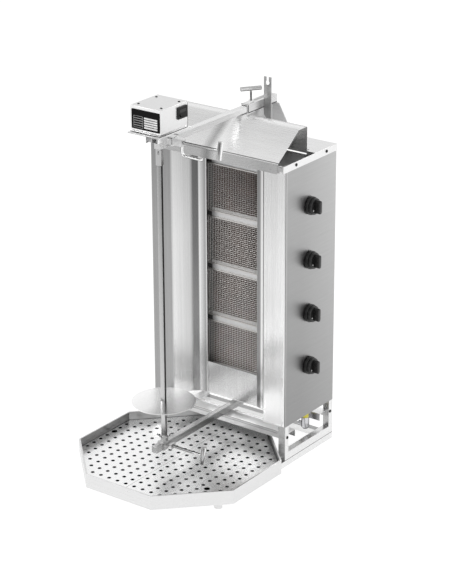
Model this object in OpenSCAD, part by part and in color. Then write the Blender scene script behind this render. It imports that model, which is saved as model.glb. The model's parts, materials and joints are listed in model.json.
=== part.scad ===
// Gas doner kebab grill with four ceramic burners, a turning spit and a pull-out drip tray.
// The origin lies on the table under the middle of the cabinet's front edge.
// X points to the knob side, Y to the back and Z up. All sizes are millimetres.

/* [Cabinet] */
// Width over the two side panels
cabinet_w = 470; // [440:5:500]
// Depth of the side panels
cabinet_d = 240; // [230:5:280]
// Height of the cabinet floor above the table
base_h = 125; // [120:1:150]
// Height of the side panels
panel_h = 778.8; // [775:0.2:800]
// Thickness of the cabinet's sheets
sheet_t = 1; // [0.8:0.1:1.5]
// Thickness of the top cover and the hood
cover_t = 1.2; // [1:0.1:2]

/* [Reflectors] */
// Width of the heat opening between the reflectors
opening_w = 177; // [160:1:190]
// Depth of the opening's edge behind the cabinet front
opening_y = 67; // [60:1:75]
// Distance that the flat wings stand in front of the side panels
wing_out = 2; // [1:0.5:4]
// Half width from the middle to the inner edge of a wing
wing_x = 161; // [150:1:175]
// Visible gap between a wing's corner and the side panel
joint_gap = 0.8; // [0.5:0.1:1.5]

/* [Burners] */
// Number of burners, one above another
burner_n = 4; // [2:1:4]
// Distance between burner centres
burner_pitch = 160; // [156:1:162]
// Height of the first burner's centre above the cabinet floor
first_burner = 155; // [150:1:160]
// Width of a burner's ceramic face, which two tiles share
tile_w = 176; // [160:1:176]
// Height of a ceramic tile
tile_h = 132; // [120:1:134]
// Thickness of a ceramic tile
tile_t = 12; // [8:1:14]

/* [Hood] */
// Width of the hood
hood_w = 416; // [380:2:430]
// Height of the hood's ridge above the side panels
hood_h = 73.2; // [60:0.2:90]
// Distance of the hood's back wall behind the cabinet front
hood_back = 136; // [125:1:145]

/* [Spit] */
// Distance of the spit's axis in front of the cabinet
spit_out = 254; // [240:1:256]
// Side of the square spit rod
rod_side = 12; // [8:1:12]
// Radius of the meat disc
disc_r = 90; // [60:5:110]
// Height of the meat disc above the table
disc_z = 241; // [200:1:300]

/* [Arm] */
// Width of the top arm's tube
arm_w = 20; // [16:1:24]
// Height of the top arm's tube
arm_h = 16; // [14:1:18]
// Side of the square front bar
bar_side = 18; // [16:1:20]
// Width of the bottom bar
bottom_bar_w = 18; // [16:1:24]
// Height of the bottom bar
bottom_bar_h = 20; // [18:1:24]

/* [Motor box] */
// Width of the motor box
case_w = 101; // [96:1:110]
// Depth of the motor box
case_d = 117; // [112:1:130]
// Height of the motor box
case_h = 66; // [62:1:80]

/* [Knobs] */
// Diameter of a knob's skirt
knob_d = 52; // [40:1:60]
// Distance that a knob pushes in
knob_push = 3; // [1:0.5:3.5]
// Distance of the knobs behind the cabinet front
knob_y = 112; // [100:1:116]

/* [Drip tray] */
// Width of the eight-sided tray across its flats
tray_w = 550; // [500:5:552]
// Height of the tray's wall
tray_h = 41.2; // [30:0.2:45]
// Distance of the tray's middle in front of the cabinet
tray_out = 188; // [186:1:230]
// Distance between the drain holes
hole_pitch = 29.8; // [26:0.2:36]
// Diameter of a drain hole
hole_d = 9.5; // [6:0.5:10]

/* [Hidden] */

// Shared clearances and the overrun of every cut
cut = 1;
run_fit = 0.05;
part_gap = 0.4;
seat_gap = 0.3;
pair_gap = 0.1;
bend_steps = 6;
round_fn = 48;
hole_fn = 24;
hex_fn = 6;
octagon_fn = 8;

// Levels and half widths that the pieces share
hw = cabinet_w / 2;
floor_top = base_h + sheet_t;
panel_top = base_h + panel_h;
cover_top = panel_top + cover_t;
rear_out = cabinet_d + sheet_t;
spit_y = -spit_out;

// Base
plinth_h = 20;
skid_w = 20;
skid_out = 24;
strip_out = 4;
post_w = 23;
post_front = 18;
post_rear = 19;
rail_h = 23;
frame_t = 1.5;
flange_w = 20;
beam_d = 40;
beam_h = 22;
beam_z = 75;
beam_inset = 5;
beam_lip_x = 160;
beam_lip_h = 4;
beam_bolt_x = 190;
post_screw_z = 90;
bar_wall = 2;
bottom_bar_out = 300;
beam_top = beam_z + beam_h;
rail_top = plinth_h + rail_h;
bottom_bar_mid = beam_top + bottom_bar_h / 2;

// Sheets of the cabinet
panel_front = 1;
panel_lip = 2.8;
lip_r = 2.5;
rear_flange = 18;
return_d = 14;
step_w = 24.5;
step_d = 6;
slope_w = 13;
slope_d = 11;
wing_r = 3;
reflector_drop = 3.8;
lower_h = 99;
vent_w = 70;
vent_h = 4;
vent_n = 7;
vent_pitch = 14;
vent_columns = 3;
vent_gap = 30;
wing_edge = hw - panel_lip - joint_gap;
wing_path = [[opening_w / 2, opening_y], [opening_w / 2 + step_w, opening_y - step_d],
    [opening_w / 2 + step_w + slope_w, opening_y - step_d - slope_d], [wing_x, -wing_out],
    [wing_edge, -wing_out], [wing_edge, return_d]];
wing_radii = [0, 0, 0, wing_r];

// Top cover and hood
lip_h = 20;
lip_out = 18;
rear_lip_h = 18;
tab_w = 26;
tab_h = 12;
tab_y = 4;
tab_z = 8;
header_h = 26.8;
header_out = 8;
ridge_front = 93;
ridge_r = 4;
foot_w = 14;
shield_inset = 1;
shield_back = 160;
shield_front = 84;
flue_drop = 21;
shield_hw = opening_w / 2 + step_w - shield_inset;

// Burners
burner_z = [for (i = [0 : burner_n - 1]) base_h + first_burner + i * burner_pitch];
tile_front = 97;
tile_seam = 0.4;
house_flange_w = 16;
house_flange_h = 10;
house_wall = 1.5;
house_room = 4;
house_body_w = tile_w + 2 * house_room;
house_body_h = tile_h + 2 * house_room;
house_back = 150;
stud_r = 5;
stud_x = 60;
mesh_front = 88;
mesh_wire = 1.4;
mesh_columns = 15;
mesh_rows = 5;
mesh_frame = 3;
mesh_rise = 2;
spacer_front = 92;
shelf_drop = 12;
top_strip_h = 54;
feed_y = 125;
feed_r = 4;
feed_bore = 3;
feed_nut_r = 7;
feed_nut_l = 10;
probe_r = 1.5;
probe_y = 94.5;
probe_drop = 60;
probe_in = 60;
probe_out = 130;
probe_nut_r = 4;
probe_nut_l = 6;
shelf_z = base_h + first_burner - tile_h / 2 - shelf_drop;

// Gas train
inlet_x = 195;
inlet_y = 160;
pipe_r = 7;
pipe_bore = 5;
pipe_rise = 40;
tap_left = 9;
tap_right = 15;
tap_front = 11;
tap_back = 26;
tap_h = 22;
bonnet_r = 9;
neck_r = 5;
plug_r = 7.95;
plug_l = 11;
plug_in = 6;
spindle_r = 4;
panel_hole_r = 5.5;
inlet_nut_r = 11;
inlet_nut_h = 8;
inlet_pipe_r = 6;
elbow_r = 11.5;
elbow_top_drop = 37;
elbow_low_drop = 73;
elbow_drop = 61;
elbow_chamfer = 5;
elbow_foot_r = 8;
elbow_top = base_h - elbow_top_drop;
elbow_bottom = base_h - elbow_low_drop;
elbow_z = base_h - elbow_drop;
elbow_l = 22;
elbow_tip_r = 7;
collar_h = 14;
collar_r = 9.5;

// Knobs
knob_gap = 3.5;
skirt_h = 17.5;
skirt_base_h = 6;
skirt_top_r = 21;
grip_h = 16;
grip_w = 12;
grip_l = 46;
knob_socket = 12;

// Arm, sleeve and what they carry
sleeve_wall = 2.5;
sleeve_play = 2.4;
sleeve_front = 130;
sleeve_back = 268;
seat_t = 3;
seat_front = 98;
seat_back = 160;
arm_front = -184;
arm_back = 262;
arm_wall = 2;
collar_side = 24;
collar_y = -212;
collar_d = 28;
collar_slack = 0.6;
bar_drop = 6.9;
lock_x = 40;
lock_d = 20;
lock_y = -200;
lever_x = 34.5;
lever_r = 4;
lever_drop = 32;
lever_l = 68;
lever_bend = 11;
lever_in = 5.5;
bracket_y = 262;
bracket_t = 3;
bracket_w = 129;
bracket_foot = 42;
bracket_foot_t = 2.5;
bracket_top_share = 0.36;
fork_y = 203.5;
fork_t = 3;
fork_w = 25;
fork_bottom = 949;
fork_top = 1070;
fork_cut = 10;
notch_w = 8.5;
notch_r = 6.5;
notch_d = 17;
notch_x = 12.5;
hood_top = panel_top + hood_h;
sleeve_bottom = hood_top + seat_t;
arm_bottom = sleeve_bottom + sleeve_wall + part_gap;
arm_top = arm_bottom + arm_h;
sleeve_top = arm_top + sleeve_play + sleeve_wall;
sleeve_hw = arm_w / 2 + part_gap + sleeve_wall;
bar_z = arm_bottom - bar_drop;
front_bar_top = bar_z + bar_side;

// Clamp screws
pad_r = 6;
pad_t = 2;
pad_room = 4.8;
pad_play = 0.5;
tip_r = 2;
tip_l = 1.2;
screw_r = 4;
rear_screw_r = 3;
boss_r = 7.8;
boss_h = 5;
rear_screw_y = 160;
rear_screw_l = 41;
rear_bar_l = 62;
rear_bar_r = 6;
rear_turn = 54;
side_screw_l = 148;
side_bar_l = 50;
side_bar_r = 7.5;
side_turn = -12;
foot_screw_l = 118;

// Front bar, motor plate and motor box
bar_ahead = 11;
bar_end_gap = 2;
pan_margin = 2;
pan_front = 10;
pan_back = 10;
pan_t = 1.5;
pan_flange = 3;
pan_rise = 36;
saddle_w = 21;
saddle_l = 40;
case_t = 1.2;
case_foot_h = 6;
case_foot_in = 3;
case_back = 59;
shaft_hole_r = 7;
shaft_r = 5;
label_t = 0.8;
label_w = 94;
label_h = 54;
label_r = 3;
label_low = 4;
label_shift = 2;
plate_z = 15;
plate_t = 2;
gear_module = 1;
gear_teeth = 45;
pinion_teeth = 15;
gear_h = 6;
gear_lift = 6;
gear_backlash = 0.2;
pressure_angle = 20;
tooth_top_share = 0.8;
tooth_root_share = 1.25;
hub_r = 10;
hub_h = 3;
pinion_shaft_r = 3;
pinion_shaft_l = 12;
gearbox_w = 56;
gearbox_d = 46;
gearbox_h = 16;
motor_r = 22;
motor_h = 22;
motor_post_r = 4;
case_screw_x = 38;
case_screw_in = 20.5;
switch_y = 39;
switch_h = 32;
switch_t = 4;
switch_rear = 45;
switch_low = 25;
switch_in = 14;
rocker_y = 26;
rocker_tip_z = 9.4;
rocker_tip_x = 5.5;
rocker_dip_x = 3.5;
rocker_back_x = 5;
rocker_back_z = 6;
rocker_pin_r = 2;
rocker_pin_l = 1.5;
rocker_tilt = 10;
well_h = 21.6;
well_gap = 0.5;
well_d = 9;
pivot_out = 0.5;
gear_centres = gear_module * (gear_teeth + pinion_teeth) / 2;
pan_top = front_bar_top + pan_rise;
case_bottom = pan_top + case_foot_h;
case_top = case_bottom + case_h;
case_y = spit_y + case_back;
switch_y0 = case_y - switch_rear;
switch_z0 = case_bottom + switch_low;
gear_z = case_bottom + gear_lift;
plate_bottom = case_bottom + plate_z;
pinion_y = spit_y + gear_centres;

// Spit and its foot
shoe_wall = 1.5;
shoe_l = 44;
shoe_front = 18;
foot_boss_r = 10;
foot_boss_h = 10;
foot_pin_r = 4;
foot_pin_l = 9;
foot_block_d = 20;
foot_block_w = 14;
foot_screw_y = 9;
foot_screw_drop = 3;
disc_t = 3;
disc_seat_r = 11;
disc_seat_h = 10;
rod_play = 0.3;
rod_turn = 15;
coupling_side = 16;
coupling_l = 44;
socket_d = 36;
coupling_gap = 2;
slot_w = 4;
slot_h = 9;
slot_drop = 4;
shoe_top = beam_top + bottom_bar_h + part_gap + shoe_wall;
foot_top = shoe_top + foot_boss_h;
coupling_top = bar_z - coupling_gap;
coupling_bottom = coupling_top - coupling_l;
rod_top = coupling_bottom + socket_d;

// Tray
tray_t = 1.2;
tray_foot_h = 22.8;
tray_rim = 5;
tray_foot_r = 12;
tray_foot_in = 49;
tray_foot_y = 118;
grid_lift = 12.5;
grid_t = 1.2;
grid_gap = 2;
grid_split = -8.1;
grid_split_gap = 0.8;
hole_x0 = 6.8;
hole_y0 = 17.4;
hole_steps = 10;
hole_rows_shift = 6;
edge_margin = 9;
finger_d = 17;
finger_edge = 5;
right_finger = [178, -293];
left_finger = [-260, -160];

// Fasteners
head_r = 4.5;
head_h = 2.2;
head_top_share = 0.55;
small_head_r = 3.5;
small_head_h = 1.6;
lip_screw_front = 43;
lip_screw_rear = 190;
lip_screw_drop = 9;
post_screw_front = 11;
post_screw_back = 12;
rear_screw_in = 9;
rear_screw_n = 4;
bracket_screw_in = 10;
mesh_screw_z = 50;

// Unit vector, left-hand normal and a vector turned by an angle
function unit(v) = v / norm(v);
function left(v) = [-v[1], v[0]];
function turned(v, a) = [v[0] * cos(a) - v[1] * sin(a), v[0] * sin(a) + v[1] * cos(a)];

// Mitre direction of path p at point i, for an offset of one to the left
function mitre(p, i) =
    let (n = len(p) - 1,
         a = left(unit(p[max(i, 1)] - p[max(i, 1) - 1])),
         b = left(unit(p[min(i, n - 1) + 1] - p[min(i, n - 1)])))
    (a + b) / (1 + a * b);
function shifted(p, d) = [for (i = [0 : len(p) - 1]) p[i] + d * mitre(p, i)];

// One corner of a path as an arc of radius r, and a whole path with its inner corners bent so
function corner(a, b, c, r) =
    let (u = unit(b - a), v = unit(c - b),
         angle = atan2(u[0] * v[1] - u[1] * v[0], u * v),
         start = b - u * r * tan(abs(angle) / 2),
         middle = start + left(u) * r * sign(angle))
    r == 0 ? [b] : [for (k = [0 : bend_steps]) middle + turned(start - middle, angle * k / bend_steps)];
function bent(p, radii) = [p[0],
    for (i = [1 : len(p) - 2]) each corner(p[i - 1], p[i], p[i + 1], radii[i - 1]), p[len(p) - 1]];

// Outline of a sheet of thickness t that follows path p, on its left when t is positive
function sheet(p, t) = let (q = shifted(p, t)) concat(p, [for (i = [len(q) - 1 : -1 : 0]) q[i]]);

// Width of an involute tooth, as an angle either side of its middle, at radius r
function involute(a) = tan(a) * 180 / PI - a;
function half_tooth(pitch_r, r) =
    let (base_r = pitch_r * cos(pressure_angle),
         a = acos(min(1, base_r / max(r, base_r))))
    (PI * gear_module / 2 - gear_backlash) / (2 * pitch_r) * 180 / PI
        + involute(pressure_angle) - involute(a);
function gear_outline(teeth) =
    let (pitch_r = gear_module * teeth / 2,
         root_r = pitch_r - tooth_root_share * gear_module,
         top_r = pitch_r + tooth_top_share * gear_module,
         radii = [root_r, max(root_r, pitch_r * cos(pressure_angle)), pitch_r, top_r])
    [for (i = [0 : teeth - 1]) let (middle = 360 * i / teeth) each concat(
        [for (r = radii) turned([r, 0], middle - half_tooth(pitch_r, r))],
        [for (k = [3 : -1 : 0]) turned([radii[k], 0], middle + half_tooth(pitch_r, radii[k]))])];

// Box between two opposite corners, and the pieces that come as a mirrored pair
module box(low, high) { translate(low) cube(high - low); }
module both_sides() {
    children();
    mirror([1, 0, 0]) children();
}

// A (Y, Z) outline carried along X about the middle, and a cylinder along X or Y
module across(w) { translate([-w / 2, 0, 0]) rotate([90, 0, 90]) linear_extrude(w) children(); }
module rod_x(r, x0, x1) { translate([x0, 0, 0]) rotate([0, 90, 0]) cylinder(r = r, h = x1 - x0); }
module rod_y(r, y0, y1) { translate([0, y1, 0]) rotate([90, 0, 0]) cylinder(r = r, h = y1 - y0); }

// Low domed screw head standing on the plane z = 0
module head(r = head_r, h = head_h) {
    rotate_extrude() polygon([[0, 0], [r, 0], [r, h / 2], [r * head_top_share, h], [0, h]]);
}

// Base
module side_frame() {
    difference() {
        box([hw - frame_t, 0, plinth_h], [hw, rear_out, base_h]);
        box([hw - frame_t - cut, post_front, rail_top],
            [hw + cut, rear_out - post_rear, base_h + cut]);
    }
    for (y = [0, rear_out - frame_t])
        box([hw - post_w, y, plinth_h], [hw - frame_t, y + frame_t, base_h]);
    for (y = [post_front - frame_t, rear_out - post_rear])
        box([hw - flange_w, y, rail_top - frame_t], [hw, y + frame_t, base_h]);
    box([hw - post_w, frame_t, base_h - frame_t], [hw - frame_t, post_front, base_h]);
    box([hw - post_w, rear_out - post_rear, base_h - frame_t],
        [hw - frame_t, rear_out - frame_t, base_h]);
    box([hw - post_w, frame_t, plinth_h], [hw - frame_t, rear_out - frame_t, plinth_h + frame_t]);
    box([hw - flange_w, post_front, rail_top - frame_t],
        [hw - frame_t, rear_out - post_rear, rail_top]);
}

module base_frames() {
    color("gainsboro") both_sides() side_frame();
}

module plinth_frame() {
    strip_in = skid_w - strip_out;
    runner_x = hw - post_w - pair_gap;
    color("silver") {
        both_sides() box([hw - skid_w, -skid_out, 0], [hw, rear_out, plinth_h]);
        box([skid_w - hw, -strip_out, 0], [hw - skid_w, strip_in, plinth_h]);
        box([-runner_x, -strip_out, plinth_h], [runner_x, strip_in, tray_foot_h - seat_gap]);
        box([skid_w - hw, rear_out - skid_w, 0], [hw - skid_w, rear_out, plinth_h]);
    }
}

// Channel open downwards whose near web stands at y0, towards the far web at y1
module beam(y0, y1) {
    x = hw - beam_inset;
    low = min(y0, y1);
    high = max(y0, y1);
    box([-x, low, beam_top - frame_t], [x, high, beam_top]);
    box([-x, low, beam_z], [x, low + frame_t, beam_top - frame_t]);
    box([-x, high - frame_t, beam_z], [x, high, beam_top - frame_t]);
}

module cross_beams() {
    color("silver") {
        beam(post_front, post_front + beam_d);
        beam(rear_out - post_rear, rear_out - post_rear - beam_d);
        for (side = [-1, 1])
            box([side > 0 ? bottom_bar_w : -beam_lip_x, post_front + beam_d - frame_t, beam_top],
                [side > 0 ? beam_lip_x : -bottom_bar_w, post_front + beam_d, beam_top + beam_lip_h]);
    }
}

module bottom_bar() {
    color("silver") difference() {
        box([-bottom_bar_w / 2, -bottom_bar_out, beam_top],
            [bottom_bar_w / 2, rear_out - post_rear, beam_top + bottom_bar_h]);
        box([bar_wall - bottom_bar_w / 2, bar_wall - bottom_bar_out, beam_top + bar_wall],
            [bottom_bar_w / 2 - bar_wall, rear_out - post_rear - bar_wall,
             beam_top + bottom_bar_h - bar_wall]);
    }
}

// Cabinet sheets
module bottom_panel() {
    half = concat(bent(wing_path, wing_radii),
        [[hw - sheet_t, return_d], [hw - sheet_t, cabinet_d - sheet_t]]);
    color("lightgrey") translate([0, 0, base_h]) linear_extrude(sheet_t) difference() {
        polygon(concat(half, [for (i = [len(half) - 1 : -1 : 0]) [-half[i][0], half[i][1]]]));
        translate([inlet_x, inlet_y]) circle(r = pipe_bore, $fn = round_fn);
    }
}

module side_panel() {
    path = [[hw - panel_lip, panel_front], [hw, panel_front], [hw, cabinet_d],
        [hw - rear_flange, cabinet_d]];
    translate([0, 0, base_h]) linear_extrude(panel_h)
        polygon(sheet(bent(path, [lip_r, 0]), sheet_t));
}

module right_side_panel() {
    color("darkgrey") difference() {
        side_panel();
        for (z = burner_z) translate([0, knob_y, z])
            rod_x(panel_hole_r, hw - sheet_t - cut, hw + cut, $fn = round_fn);
    }
}

module left_side_panel() {
    color("darkgrey") mirror([1, 0, 0]) side_panel();
}

module reflector() {
    translate([0, 0, floor_top]) linear_extrude(panel_h - sheet_t - reflector_drop)
        polygon(sheet(bent(wing_path, wing_radii), sheet_t));
}

module right_reflector() {
    color("silver") reflector();
}

module left_reflector() {
    color("silver") mirror([1, 0, 0]) reflector();
}

module lower_panel() {
    y = opening_y + sheet_t;
    color("silver") {
        box([-opening_w / 2 - sheet_t, y, floor_top], [opening_w / 2 + sheet_t, y + sheet_t,
            base_h + lower_h]);
        box([-shield_hw, y + sheet_t, shelf_z - sheet_t], [shield_hw, shield_back, shelf_z]);
    }
}

module rear_panel() {
    color("lightgrey") difference() {
        box([-hw, cabinet_d, base_h], [hw, rear_out, panel_top]);
        for (column = [0 : vent_columns - 1], row = [0 : vent_n - 1], low = [false, true]) {
            x = (column - (vent_columns - 1) / 2) * (vent_w + vent_gap) - vent_w / 2;
            z = low ? floor_top + vent_gap + row * vent_pitch
                : panel_top - lip_h - vent_gap - row * vent_pitch;
            box([x, cabinet_d - cut, z], [x + vent_w, rear_out + cut, z + vent_h]);
        }
    }
}

module top_cover() {
    y1 = rear_out + cover_t;
    color("white") {
        box([-hw, hood_back, panel_top], [hw, rear_out, cover_top]);
        box([-hw - cover_t, rear_out, cover_top - rear_lip_h], [hw + cover_t, y1, cover_top]);
        both_sides() {
            box([hw, -lip_out, cover_top - lip_h], [hw + cover_t, rear_out, cover_top]);
            box([hw - tab_w, -tab_y - cover_t, cover_top - tab_z - tab_h],
                [hw, -tab_y, cover_top - tab_z]);
        }
    }
}

module hood() {
    path = [[-header_out, panel_top - header_h], [-wing_out - cover_t, panel_top],
        [ridge_front, hood_top], [hood_back, hood_top], [hood_back, cover_top + cover_t],
        [hood_back + foot_w, cover_top + cover_t]];
    color("whitesmoke") across(hood_w)
        polygon(sheet(bent(path, [0, 0, ridge_r, 0]), -cover_t));
}

// U-shaped liner round the burners, with a flat flue floor at its top on both sides
module heat_shield() {
    top = panel_top - flue_drop;
    inner = shifted(wing_path, sheet_t);
    color("silver") {
        difference() {
            both_sides() box([shield_hw - sheet_t, shield_front, shelf_z],
                [shield_hw, shield_back, top]);
            for (z = burner_z) {
                translate([0, feed_y, z])
                    rod_x(feed_r + seat_gap, shield_hw - sheet_t - cut, shield_hw + cut, $fn = round_fn);
                translate([0, probe_y, z - probe_drop])
                    rod_x(probe_r + pair_gap, shield_hw - sheet_t - cut, shield_hw + cut,
                        $fn = hole_fn);
            }
        }
        box([sheet_t - shield_hw, shield_back - sheet_t, shelf_z], [shield_hw - sheet_t,
            shield_back, top]);
        both_sides() translate([0, 0, top - sheet_t]) linear_extrude(sheet_t)
            polygon([[shield_hw, inner[1][1]], inner[1], inner[2], inner[3], inner[4],
                [inner[4][0], shield_back], [shield_hw, shield_back]]);
    }
}

// Burners
module burner_housing() {
    w = tile_w + 2 * house_flange_w;
    h = tile_h + 2 * house_flange_h;
    y = tile_front + house_wall;
    difference() {
        union() {
            box([-w / 2, tile_front, -h / 2], [w / 2, y, h / 2]);
            box([-house_body_w / 2, y, -house_body_h / 2],
                [house_body_w / 2, house_back, house_body_h / 2]);
        }
        box([-tile_w / 2 - seat_gap, tile_front - cut, -tile_h / 2 - seat_gap],
            [tile_w / 2 + seat_gap, y + cut, tile_h / 2 + seat_gap]);
        box([house_wall - house_body_w / 2, y, house_wall - house_body_h / 2],
            [house_body_w / 2 - house_wall, house_back - house_wall, house_body_h / 2 - house_wall]);
        translate([0, feed_y, 0])
            rod_x(feed_bore, house_body_w / 2 - house_wall - cut, house_body_w / 2 + cut,
                $fn = hole_fn);
    }
    for (x = [-stud_x, stud_x]) translate([x, 0, 0])
        rod_y(stud_r, house_back, shield_back - sheet_t, $fn = hole_fn);
}

module burner_housings() {
    color("silver") for (z = burner_z) translate([0, 0, z]) burner_housing();
}

module ceramic_tiles() {
    color("rosybrown") for (z = burner_z) both_sides()
        box([tile_seam / 2, tile_front, z - tile_h / 2],
            [tile_w / 2, tile_front + tile_t, z + tile_h / 2]);
}

// Woven wire screen in a folded frame, with its middle at the burner's middle
module burner_mesh() {
    w = tile_w + 2 * house_flange_w + mesh_rise;
    z0 = -tile_h / 2;
    z1 = tile_h / 2 + mesh_rise;
    for (i = [1 : mesh_columns - 1]) {
        x = -w / 2 + i * w / mesh_columns;
        box([x - mesh_wire / 2, mesh_front, z0], [x + mesh_wire / 2, mesh_front + mesh_wire, z1]);
    }
    for (i = [1 : mesh_rows - 1]) {
        z = z0 + i * (z1 - z0) / mesh_rows;
        box([-w / 2, mesh_front, z - mesh_wire / 2], [w / 2, mesh_front + mesh_wire,
            z + mesh_wire / 2]);
    }
    difference() {
        box([-w / 2, mesh_front, z0], [w / 2, spacer_front, z1]);
        box([mesh_frame - w / 2, mesh_front - cut, z0 + mesh_frame],
            [w / 2 - mesh_frame, spacer_front + cut, z1 - mesh_frame]);
    }
}

module burner_meshes() {
    color("dimgrey") for (z = burner_z) translate([0, 0, z]) burner_mesh();
}

// Folded strip between z0 and z1 that covers the housings' flanges
module spacer(z0, z1) {
    w = tile_w + 2 * house_flange_w + mesh_rise;
    across(w) polygon(sheet([[tile_front, z0], [spacer_front, z0], [spacer_front, z1],
        [tile_front, z1]], -sheet_t));
}

module burner_spacers() {
    gap = burner_pitch - tile_h;
    color("gainsboro") {
        spacer(shelf_z, burner_z[0] - tile_h / 2);
        for (i = [0 : burner_n - 2])
            spacer(burner_z[i] + tile_h / 2, burner_z[i] + tile_h / 2 + gap);
        spacer(burner_z[burner_n - 1] + tile_h / 2,
            burner_z[burner_n - 1] + tile_h / 2 + top_strip_h);
    }
}

// Gas train
module gas_manifold() {
    h = burner_z[burner_n - 1] + pipe_rise - floor_top;
    color("goldenrod") translate([inlet_x, inlet_y, floor_top]) difference() {
        cylinder(r = pipe_r, h = h, $fn = round_fn);
        translate([0, 0, -cut]) cylinder(r = pipe_bore, h = h - pipe_r + cut, $fn = round_fn);
    }
}

module gas_tap() {
    difference() {
        union() {
            box([inlet_x - tap_left, knob_y - tap_front, -tap_h / 2],
                [inlet_x + tap_right, knob_y + tap_back, tap_h / 2]);
            translate([0, knob_y, 0])
                rod_x(bonnet_r, inlet_x + tap_right, hw - sheet_t, $fn = round_fn);
            translate([inlet_x, 0, 0]) rod_y(neck_r, knob_y + tap_back, inlet_y, $fn = round_fn);
        }
        translate([inlet_x, inlet_y, -tap_h]) cylinder(r = pipe_r + pair_gap, h = 2 * tap_h,
            $fn = round_fn);
        translate([0, knob_y, 0]) {
            rod_x(plug_r + run_fit, inlet_x - plug_in - seat_gap, inlet_x - plug_in + plug_l
                + seat_gap, $fn = round_fn);
            rod_x(spindle_r + run_fit, inlet_x, hw, $fn = round_fn);
        }
    }
}

module gas_taps() {
    color("goldenrod") for (z = burner_z) translate([0, 0, z]) gas_tap();
}

module tap_spindle(i) {
    color("silver") translate([0, knob_y, burner_z[i]]) {
        rod_x(plug_r, inlet_x - plug_in, inlet_x - plug_in + plug_l, $fn = round_fn);
        rod_x(spindle_r, inlet_x, hw + knob_gap + knob_socket, $fn = round_fn);
    }
}

module knob(i) {
    base = hw + knob_gap;
    top = base + skirt_h;
    depth = knob_socket + knob_push + seat_gap;
    color([0.12, 0.12, 0.12]) translate([0, knob_y, burner_z[i]]) difference() {
        union() {
            rod_x(knob_d / 2, base, base + skirt_base_h, $fn = round_fn);
            translate([base + skirt_base_h, 0, 0]) rotate([0, 90, 0])
                cylinder(r1 = knob_d / 2, r2 = skirt_top_r, h = skirt_h - skirt_base_h,
                    $fn = round_fn);
            box([top, -grip_w / 2, -grip_l / 2 + grip_w / 2],
                [top + grip_h, grip_w / 2, grip_l / 2 - grip_w / 2]);
            for (z = [-1, 1]) translate([0, 0, z * (grip_l - grip_w) / 2])
                rod_x(grip_w / 2, top, top + grip_h, $fn = round_fn);
        }
        rod_x(spindle_r + run_fit, base - cut, base + depth, $fn = round_fn);
    }
}

module feed_pipes() {
    x1 = inlet_x - tap_left;
    color("goldenrod") for (z = burner_z) translate([0, feed_y, z]) difference() {
        union() {
            rod_x(feed_r, house_body_w / 2, x1, $fn = round_fn);
            rod_x(feed_nut_r, x1 - feed_nut_l, x1, $fn = hex_fn);
        }
        rod_x(feed_bore, house_body_w / 2 - cut, x1 + cut, $fn = hole_fn);
    }
}

module thermocouples() {
    color("silver") for (z = burner_z) translate([0, probe_y, z - probe_drop]) {
        rod_x(probe_r, probe_in, probe_out, $fn = hole_fn);
        rod_x(probe_nut_r, shield_hw, shield_hw + probe_nut_l, $fn = hex_fn);
    }
}

module gas_inlet() {
    color("silver") translate([inlet_x, inlet_y, 0]) difference() {
        union() {
            translate([0, 0, base_h - inlet_nut_h])
                cylinder(r = inlet_nut_r, h = inlet_nut_h, $fn = hex_fn);
            translate([0, 0, elbow_top])
                cylinder(r = inlet_pipe_r, h = base_h - inlet_nut_h - elbow_top, $fn = round_fn);
            translate([0, 0, elbow_bottom + elbow_chamfer])
                cylinder(r = elbow_r, h = elbow_top - elbow_bottom - elbow_chamfer, $fn = round_fn);
            translate([0, 0, elbow_bottom])
                cylinder(r1 = elbow_foot_r, r2 = elbow_r, h = elbow_chamfer, $fn = round_fn);
            translate([0, 0, elbow_z]) rod_x(elbow_tip_r, -elbow_l, 0, $fn = round_fn);
        }
        translate([0, 0, elbow_z])
            cylinder(r = feed_bore, h = base_h - elbow_z + cut, $fn = hole_fn);
        translate([0, 0, elbow_z]) rod_x(feed_bore, -elbow_l - cut, 0, $fn = hole_fn);
    }
}

module inlet_collar() {
    color("gold") translate([inlet_x, inlet_y, elbow_top]) difference() {
        cylinder(r = collar_r, h = collar_h, $fn = round_fn);
        translate([0, 0, -cut])
            cylinder(r = inlet_pipe_r + pair_gap, h = collar_h + 2 * cut, $fn = round_fn);
    }
}

// Clamp parts lie along Z from the plane that the pad presses on
module clamp_pad() {
    difference() {
        cylinder(r = pad_r, h = pad_t, $fn = round_fn);
        translate([0, 0, pad_t - tip_l]) cylinder(r = tip_r + run_fit, h = pad_t, $fn = hole_fn);
    }
}

module clamp_screw(stem, bar_l, bar_r, angle, r = screw_r) {
    translate([0, 0, pad_t - tip_l + seat_gap]) cylinder(r = tip_r, h = tip_l, $fn = hole_fn);
    translate([0, 0, pad_t + seat_gap]) cylinder(r = r, h = stem, $fn = round_fn);
    translate([0, 0, pad_t + seat_gap + stem]) rotate([0, 90, angle])
        cylinder(r = bar_r, h = bar_l, center = true, $fn = round_fn);
}

// Room for a pad's travel, and beyond it the threaded bore, cut from a boss
module clamp_bore(length, r = screw_r) {
    cylinder(r = pad_r + pad_play, h = pad_room, $fn = round_fn);
    cylinder(r = r + run_fit, h = length + cut, $fn = round_fn);
}

module at_rear_clamp() { translate([0, rear_screw_y, arm_top + seat_gap]) children(); }
module at_front_clamp() {
    translate([bar_side / 2 + seat_gap, lock_y, bar_z + bar_side / 2]) rotate([0, 90, 0]) children();
}
module at_foot_clamp() {
    translate([bottom_bar_w / 2 + seat_gap, spit_y + foot_screw_y, bottom_bar_mid - foot_screw_drop])
        rotate([0, 90, 0]) children();
}

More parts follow.
